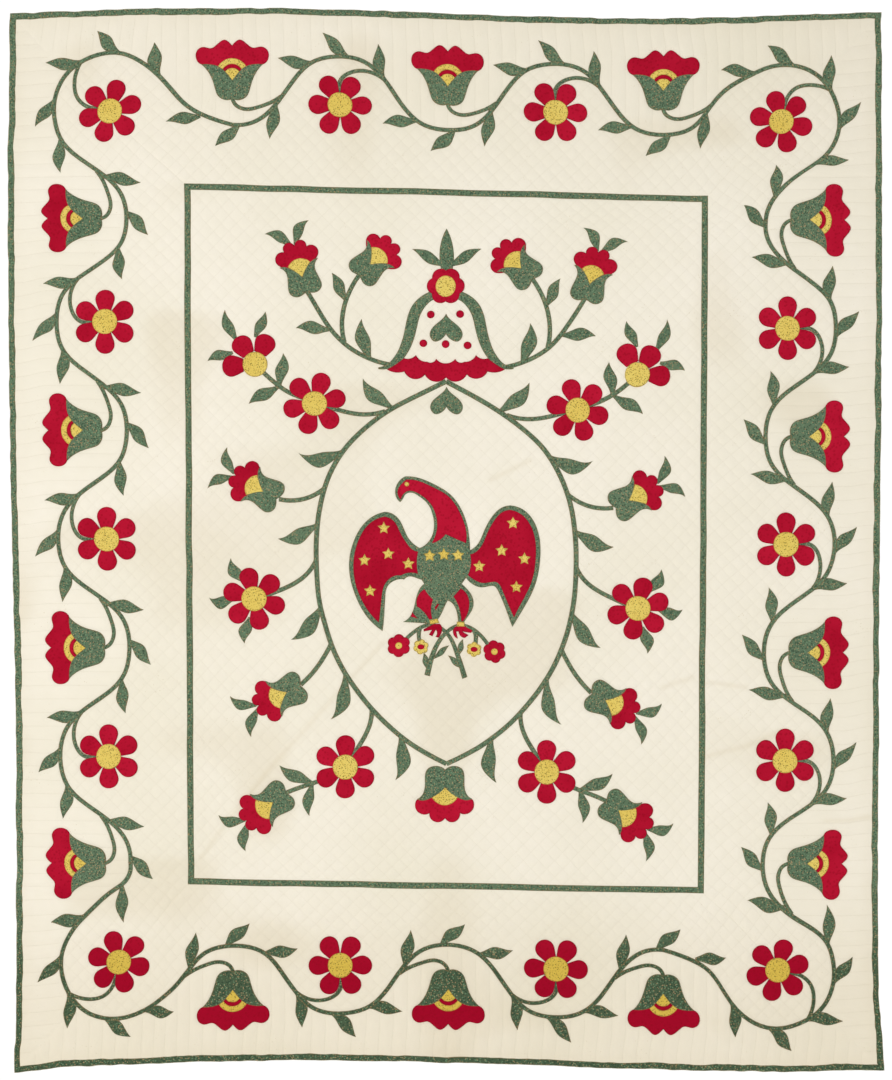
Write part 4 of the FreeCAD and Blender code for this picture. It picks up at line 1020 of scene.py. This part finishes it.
def turned_wood(name):
    """Pale hardwood with long grain and fine dark pores along the rod."""
    paint = Paint(name, 0.5, specular=0.35)
    grain = paint.noise(55, 4.0, paint.scaled(0.05, 1, 1))
    pores = paint.noise(420, 2.0, paint.scaled(0.03, 1, 1))
    banded = paint.span(grain, 0.35, 0.65)
    colour = paint.mix(banded, (196, 158, 112), (158, 118, 76))
    colour = paint.mix(paint.span(pores, 0.6, 0.7, 0, 0.6), colour, (110, 76, 46))
    rough = paint.span(grain, 0.3, 0.7, 0.42, 0.58)
    return paint.finish(colour, Normal=paint.bump(pores, 0.08 * MM, 0.6), Roughness=rough)


def pale_floor(name):
    """Matt studio floor with a faint mottle."""
    paint = Paint(name, 0.9, specular=0.1)
    colour = paint.mix(paint.noise(3, 3.0), (232, 232, 230), (238, 238, 236))
    return paint.finish(colour)


QUILTED = {
    "ground_cotton": ((242, 235, 220), (235, 228, 209), (208, 198, 170)),
    "backing_cotton": ((240, 234, 220), (231, 222, 202), (200, 188, 160)),
}
# Each dyed cotton is its deep, worn, edge and foot colours, its prints, sheen and specular. The
# foot colour is painted shade, darker towards the quilt's bottom.
DYED = {
    "sleeve_cotton": ((238, 232, 218), (228, 220, 202), (210, 198, 172), (226, 218, 198), ()),
    "batting": (
        (240, 236, 226), (230, 224, 208), (220, 210, 190), (230, 224, 208),
        (((150, 120, 80), 160, 0.14, 0.5),),
    ),
    "green_calico": (
        (86, 108, 83), (100, 120, 93), (122, 102, 66), (64, 82, 58),
        (
            ((38, 60, 44), 225, 0.46, 0.75),
            ((168, 142, 104), 190, 0.3, 0.85),
            ((122, 156, 120), 170, 0.32, 0.55),
        ),
    ),
    "red_cotton": (
        (160, 6, 36), (188, 22, 52), (128, 10, 30), (152, 2, 34),
        (((140, 4, 26), 130, 0.4, 0.45),), 0.02, 0.06,
    ),
    "yellow_print": (
        (216, 186, 84), (226, 204, 110), (150, 120, 52), (206, 176, 70),
        (((172, 136, 56), 270, 0.38, 0.7), ((96, 86, 32), 215, 0.3, 0.9)), 0.04,
    ),
}
# The materials of the quilt's pieces, by slot.
SLOTS = {name: quilted_cotton(name, *colours) for name, colours in QUILTED.items()}
SLOTS.update({name: dyed_cotton(name, *look) for name, look in DYED.items()})


# ---- the cloth top and the backing


def triangles_of(columns, rows, period):
    """Triangles over a grid, split along the lines of the cross-hatch."""
    low_left, low_right, high_right, high_left = quads(rows + 1, columns + 1).T
    column = low_left % (columns + 1)
    row = low_left // (columns + 1)
    rising = (column - row) % period == 0
    falling = (column + row + 1) % period == 0
    rising = np.where(rising | falling, rising, (column + row) % 2 == 0)
    first = np.stack([low_left, low_right, np.where(rising, high_right, high_left)], -1)
    second = np.stack([np.where(rising, low_left, low_right), high_right, high_left], -1)
    return np.concatenate([first, second])


def thread_fields():
    """Phase, place along the line and weight of both families of quilting lines."""
    region = np.where(KEYED, np.where(ENDS, 1, 2), 0)
    weight = np.where(UNDER | (FROM_EDGE_CELLS < 2), 0.0, 1.0)
    for down, over in ((0, 1), (1, 0), (1, 1), (1, -1)):
        same = region == np.roll(region, (down, over), (0, 1))
        weight = weight * same * np.roll(same, (-down, -over), (0, 1))
    diagonal = CELL / math.sqrt(2) / MM
    phase_a = np.where(KEYED, KEY_PHASE, HATCH_A)
    straight = np.where(ENDS, GRID_Z, GRID_X) / MM
    along_a = np.where(KEYED, straight, (COLUMN - ROW) * diagonal)
    along_b = (COLUMN + ROW) * diagonal
    first = np.stack([phase_a, along_a, weight], -1)
    second = np.stack([HATCH_B, along_b, weight * ~KEYED], -1)
    return first, second


SOIL_LEAST = 0.04
CREASE_DARKENING = 0.18
CREASE_DARKENING_WIDTH = 6 * MM
SOILED_EDGE = 60 * MM
STAIN_SIZE = (210 * MM, 160 * MM)


def soil_and_shade_field():
    """How much the cloth is tinted darker and tan: soil at the edges and in a few stains, darker
    along the creases, and painted shade towards the bottom, top and right side.
    """
    soil_and_shade = np.full(GRID_X.shape, SOIL_LEAST)
    for points, _ in CREASES:
        soil_and_shade += CREASE_DARKENING * dent(distance_to_run(GRID_X, GRID_Z, points), CREASE_DARKENING_WIDTH)
    stains = soft_noise(GRID_X, GRID_Z, *STAIN_SIZE, 41)
    # Stains; painted shade towards the bottom, the top and the right side; soil at the edges.
    for share, field, start, end in (
        (0.22, stains, 0.35, 0.85),
        (0.22, -GRID_Z / EDGE_Z, 0.62, 0.9),
        (0.1, GRID_Z / EDGE_Z, 0.62, 0.9),
        (0.05, GRID_X / EDGE_X, 0.6, 0.9),
        (0.1, -FROM_EDGE, -SOILED_EDGE, 0),
    ):
        soil_and_shade += share * ramp(field, start, end)
    return np.clip(soil_and_shade, 0, 1)


THREAD_A, THREAD_B = thread_fields()
SOIL_AND_SHADE = soil_and_shade_field()
TRIANGLES = triangles_of(COLUMNS, ROWS, HATCH_CELLS)
TOP_POINTS = place(GRID_X.ravel(), GRID_Z.ravel(), TOP_Y.ravel())


def cloth_piece(node, slot, faces, points, floats, vectors):
    """The part of a grid that some of its faces use, as a piece of its own."""
    used, numbers = np.unique(faces, return_inverse=True)
    numbers = numbers.reshape(faces.shape)
    own_floats = {label: field.ravel()[used] for label, field in floats.items()}
    own_vectors = {label: field.reshape(-1, 3)[used] for label, field in vectors.items()}
    return quilt_piece(
        f"{node}_cloth", slot, node, points[used], numbers, own_floats, own_vectors
    )


RIM_MOST = 20


def strip_rim():
    """Distance in mm from the nearer long edge of a frame strip."""
    into = (FROM_EDGE_CELLS - BORDER_CELLS) / STRIP_CELLS
    return np.clip(np.minimum(into, 1 - into), 0, 1) * (STRIP_X - FIELD_X) / MM


def make_top():
    """The centre, four frame strips and four borders, cut from one grid."""
    middle_column = COLUMN.ravel()[TRIANGLES].mean(axis=1)
    middle_row = ROW.ravel()[TRIANGLES].mean(axis=1)
    sides = np.stack([middle_column, COLUMNS - middle_column, middle_row, ROWS - middle_row])
    side = sides.argmin(axis=0)
    depth = sides.min(axis=0)
    floats = {"soil_and_shade": SOIL_AND_SHADE, "rim": strip_rim(), "tone": np.full(GRID_X.shape, 0.5)}
    vectors = {"thread_a": THREAD_A, "thread_b": THREAD_B}
    in_strip = (depth > BORDER_CELLS) & (depth < BORDER_CELLS + STRIP_CELLS)
    chosen = {"centre_field": depth > BORDER_CELLS + STRIP_CELLS}
    for number, label in enumerate(("left", "right", "bottom", "top")):
        chosen[f"border_{label}"] = (side == number) & (depth < BORDER_CELLS)
        chosen[f"frame_strip_{label}"] = (side == number) & in_strip
    pieces = {}
    for node, wanted in chosen.items():
        slot = "green_calico" if node.startswith("frame") else "ground_cotton"
        faces = TRIANGLES[wanted]
        pieces[node] = cloth_piece(node, slot, faces, TOP_POINTS, floats, vectors)
    return pieces


BACK_STEP = 2
BACK_SEAM_WIDTH = 4 * MM
BACK_SOIL_AND_SHADE = 0.6


def make_backing():
    """Three panels behind, seamed side by side and quilted through."""
    step = slice(None, None, BACK_STEP)
    columns = COLUMNS // BACK_STEP
    rows = ROWS // BACK_STEP
    faces = triangles_of(columns, rows, HATCH_CELLS // BACK_STEP)[:, ::-1]
    x = GRID_X[step, step]
    z = GRID_Z[step, step]
    y = BACKING_Y[step, step] - SEAM_DIP * dent(np.abs(x) - BACKING_SEAM, BACK_SEAM_WIDTH)
    points = place(x.ravel(), z.ravel(), y.ravel())
    # The backing takes a share of the front's soil, crease darkening and painted shade.
    floats = {"soil_and_shade": BACK_SOIL_AND_SHADE * SOIL_AND_SHADE[step, step]}
    vectors = {"thread_a": THREAD_A[step, step], "thread_b": THREAD_B[step, step]}
    middle = x.ravel()[faces].mean(axis=1)
    spans = {
        "backing_left": middle < -BACKING_SEAM,
        "backing_centre": np.abs(middle) <= BACKING_SEAM,
        "backing_right": middle > BACKING_SEAM,
    }
    return {
        node: cloth_piece(node, "backing_cotton", faces[chosen], points, floats, vectors)
        for node, chosen in spans.items()
    }


BATTING_STEP = 8
BATTING_HALF = 0.15 * MM
BATTING_INSET = 6 * MM
BATTING_BEHIND = 0.5 * MM


def make_batting():
    """The thin layer of batting between the top and the backing, closed all round."""
    step = slice(None, None, BATTING_STEP)
    x = np.clip(GRID_X[step, step], BATTING_INSET - EDGE_X, EDGE_X - BATTING_INSET)
    z = np.clip(GRID_Z[step, step], BATTING_INSET - EDGE_Z, EDGE_Z - BATTING_INSET)
    y = (FRONT_Y + BACK_Y) / 2 + BATTING_BEHIND - WAVE[step, step]
    rows, columns = x.shape
    front = place(x.ravel(), z.ravel(), y.ravel() - BATTING_HALF)
    back = place(x.ravel(), z.ravel(), y.ravel() + BATTING_HALF)
    faces = triangles_of(columns - 1, rows - 1, 2)
    count = len(front)
    number = np.arange(count).reshape(rows, columns)
    sides = (number[0], number[1:, -1], number[-1, -2::-1], number[-2:0:-1, 0])
    around = np.concatenate(sides).tolist()
    walls = []
    for a, b in zip(around, around[1:] + around[:1]):
        walls += [(a, count + a, b), (b, count + a, count + b)]
    everything = np.concatenate([faces, faces[:, ::-1] + count, np.array(walls)])
    points = np.concatenate([front, back])
    floats = {"rim": np.full(len(points), RIM_MOST), "tone": np.zeros(len(points))}
    return quilt_piece("batting_layer", "batting", "batting", points, everything, floats)


# ---- applique patches

FOLD_RADIUS = 1.3
TUCK = 0.85 * MM
OVERLAP_TUCK = 0.25 * MM
LOWEST_LIFT = 0.45 * MM
LIFT_PER_DEPTH = 0.75
LIFTS = {
    node: LOWEST_LIFT + LIFT_PER_DEPTH * (FRONT_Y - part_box(node)[0].y) for node in PATCH_NODES
}
SAME_LEVEL = 0.05 * MM


def level_trees():
    """The heights at which patches lie, each with a tree of the patches that lie there."""
    levels = []
    for node in sorted(PATCH_NODES, key=LIFTS.get):
        if not levels or LIFTS[node] > levels[-1][0] + SAME_LEVEL:
            levels.append((LIFTS[node], []))
        levels[-1][1].append(node)
    return [(lift, flat_tree(nodes)) for lift, nodes in levels]


LEVELS = level_trees()


def held_up(node, flat, rim):
    """How high each edge point of a node's patches is held by the patches under it."""
    held = np.full(len(flat), -TUCK)
    for lift, tree in LEVELS:
        if lift > LIFTS[node] - SAME_LEVEL:
            break
        for index in np.nonzero(rim < FOLD_RADIUS)[0]:
            if covers(tree, *flat[index]):
                held[index] = lift - OVERLAP_TUCK
    return held


def patch_piece(node):
    """All the patches of one node, with rounded turned-under edges, laid on the cloth."""
    flat, faces, rim, tone = PATCHES[node]
    x = flat[:, 0] * MM
    z = flat[:, 1] * MM
    fold = np.sqrt(1 - (1 - np.clip(rim / FOLD_RADIUS, 0, 1)) ** 2)
    pillow = sample(PILLOW_RISE, x, z)
    held = held_up(node, flat, rim)
    low = held + np.where(held > 0, pillow, 0)
    y = FRONT_Y - sample(WAVE, x, z) - fold * (LIFTS[node] + pillow) - (1 - fold) * low
    slot = frame["nodes"][node].data.materials[0].name
    floats = {"rim": np.clip(rim, 0, RIM_MOST), "tone": tone}
    return quilt_piece(f"{node}_patches", slot, node, place(x, z, y), faces, floats)


# ---- binding

BINDING_STEP = 5 * MM
BINDING_UNEVEN = 0.1
# How long the binding's changes of width, of plumpness and of tone are.
UNEVEN_LENGTH = 55 * MM
PLUMP_LENGTH = 12 * MM
TONE_LENGTH = 380 * MM
BINDING_PLUMP = 0.35 * MM
BINDING_OUT = 0.9 * MM
# The fold's section: (share of the width in from the edge, share from front 0 to back 1).
BINDING_SECTION = (
    (1.0, 0.16), (0.93, 0.02), (0.75, -0.06), (0.5, -0.08), (0.25, -0.02), (0.08, 0.12),
    (-0.02, 0.35), (-0.02, 0.65), (0.08, 0.88), (0.25, 1.02), (0.5, 1.07), (0.75, 1.05),
    (0.9, 0.98), (0.97, 0.84),
)


def binding_piece(side, seed):
    """One side's binding: a strip folded over the edge, mitred at both corners."""
    upright = side in ("left", "right")
    sign = 1 if side in ("right", "top") else -1
    edge = EDGE_X if upright else EDGE_Z
    length = EDGE_Z if upright else EDGE_X
    count = round(2 * length / BINDING_STEP)
    share = np.linspace(-1, 1, count + 1)
    run = share * length
    uneven = soft_noise(run, 0 * run, UNEVEN_LENGTH, 1, seed)
    width = BINDING_WIDTH * (1 + BINDING_UNEVEN * uneven)
    plump = BINDING_PLUMP * soft_noise(run, 0 * run + 7, PLUMP_LENGTH, 1, seed)
    rows, rims = [], []
    for into, through in BINDING_SECTION:
        inset = into * width
        along = share * (length - inset)
        across = sign * (edge - inset)
        x, z = (across, along) if upright else (along, across)
        front = sample(FRONT_Y - WAVE + PINCH, x, z) - BINDING_OUT
        back = sample(BACK_Y - WAVE - PINCH, x, z) + BINDING_OUT
        y = front + (back - front) * through - plump * math.cos(math.pi * through)
        rows.append(place(x, z, y))
        rims.append(np.minimum((1 - into) * width, np.abs(into + 0.02) * width) / MM)
    faces = quads(len(rows), count + 1)
    if side in ("left", "top"):
        faces = faces[:, ::-1]
    tone = np.tile(0.5 + 0.4 * soft_noise(run, 0 * run, TONE_LENGTH, 1, seed), len(rows))
    floats = {"rim": np.concatenate(rims), "tone": tone}
    name = f"binding_{side}"
    points = np.concatenate(rows)
    return quilt_piece(f"{name}_fold", "green_calico", name, points, faces, floats)


# ---- rod pocket

SLEEVE_CLEAR = 0.6 * MM
SLEEVE_STEP = 6 * MM
SLEEVE_SLACK = 1.6 * MM
SLEEVE_SEWN = 0.4 * MM
SLACK_SIZE = (48 * MM, 40 * MM)
SEWN_LENGTH = 9 * MM
# Points down the section: from the upper seam to the rod, round it, and to the lower seam.
SECTION_COUNTS = (5, 14, 15)


def tangent_angle(y, z, radius, side):
    """Angle on a circle about the rod where the line from (y, z) touches it."""
    return math.atan2(z, y) + side * math.acos(radius / math.hypot(y, z))


def sleeve_piece(node):
    """Half of the rod pocket: a band sewn to the backing above and below the rod."""
    low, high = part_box(node)
    radius = ROD_RADIUS + SLEEVE_CLEAR
    top = (BACK_Y - ROD_Y, high.z - ROD_Z)
    bottom = (BACK_Y - ROD_Y, low.z - ROD_Z)
    leave = tangent_angle(*top, radius, -1)
    land = tangent_angle(*bottom, radius, 1)
    angles = np.linspace(leave, land, SECTION_COUNTS[1])
    wrap = radius * np.stack([np.cos(angles), np.sin(angles)], axis=1)
    down_to_rod = np.linspace(top, wrap[0], SECTION_COUNTS[0])[:-1]
    down_to_seam = np.linspace(wrap[-1], bottom, SECTION_COUNTS[2])[1:]
    section = np.concatenate([down_to_rod, wrap, down_to_seam])
    count = round((high.x - low.x) / SLEEVE_STEP)
    x = np.linspace(low.x, high.x, count + 1)
    rows = []
    for number, (y, z) in enumerate(section):
        slack = SLEEVE_SLACK * math.sin(math.pi * number / (len(section) - 1)) ** 2
        out = slack * (0.5 + 0.5 * soft_noise(x, x * 0 + z, *SLACK_SIZE, 51))
        at_seam = number in (0, len(section) - 1)
        sewn = SLEEVE_SEWN * soft_noise(x, x * 0, SEWN_LENGTH, 1, 52) * at_seam
        rows.append(np.stack([x, ROD_Y + y + out, ROD_Z + z + sewn + x * 0], axis=1))
    faces = quads(len(section), count + 1)[:, (0, 3, 2, 1)]
    height = np.repeat(np.arange(len(section)), count + 1)
    rim = np.minimum(height, len(section) - 1 - height) * 5.0
    floats = {"rim": rim, "tone": np.full(len(rim), 0.4)}
    points = np.concatenate(rows)
    return quilt_piece(f"{node}_cloth", "sleeve_cotton", node, points, faces, floats)


# ---- assembly

top = make_top()
backing = make_backing()
batting = make_batting()
patches = {node: patch_piece(node) for node in PATCH_NODES}
SIDES = ("top", "right", "bottom", "left")
bindings = {side: binding_piece(side, seed) for seed, side in enumerate(SIDES, start=60)}
sleeves = {node: sleeve_piece(node) for node in ("hanging_sleeve_left", "hanging_sleeve_right")}

frame["nodes"]["hanging_rod"].data.materials[0] = turned_wood("rod_wood_grain")
BRACKET_STEEL = lacquered_steel("bracket_lacquer")
for label in ("left", "centre", "right"):
    frame["nodes"][f"wall_bracket_{label}"].data.materials[0] = BRACKET_STEEL
make_floor(pale_floor("studio_floor"))


# ---- the borders' lengths: along the quilt's edge, along the frame strip, and their depth

BORDER_LENGTHS = {
    "top": (2 * EDGE_X, 2 * STRIP_X, EDGE_Z - STRIP_Z),
    "right": (2 * EDGE_Z, 2 * STRIP_Z, EDGE_X - STRIP_X),
}
BORDER_LENGTHS["bottom"] = BORDER_LENGTHS["top"]
BORDER_LENGTHS["left"] = BORDER_LENGTHS["right"]
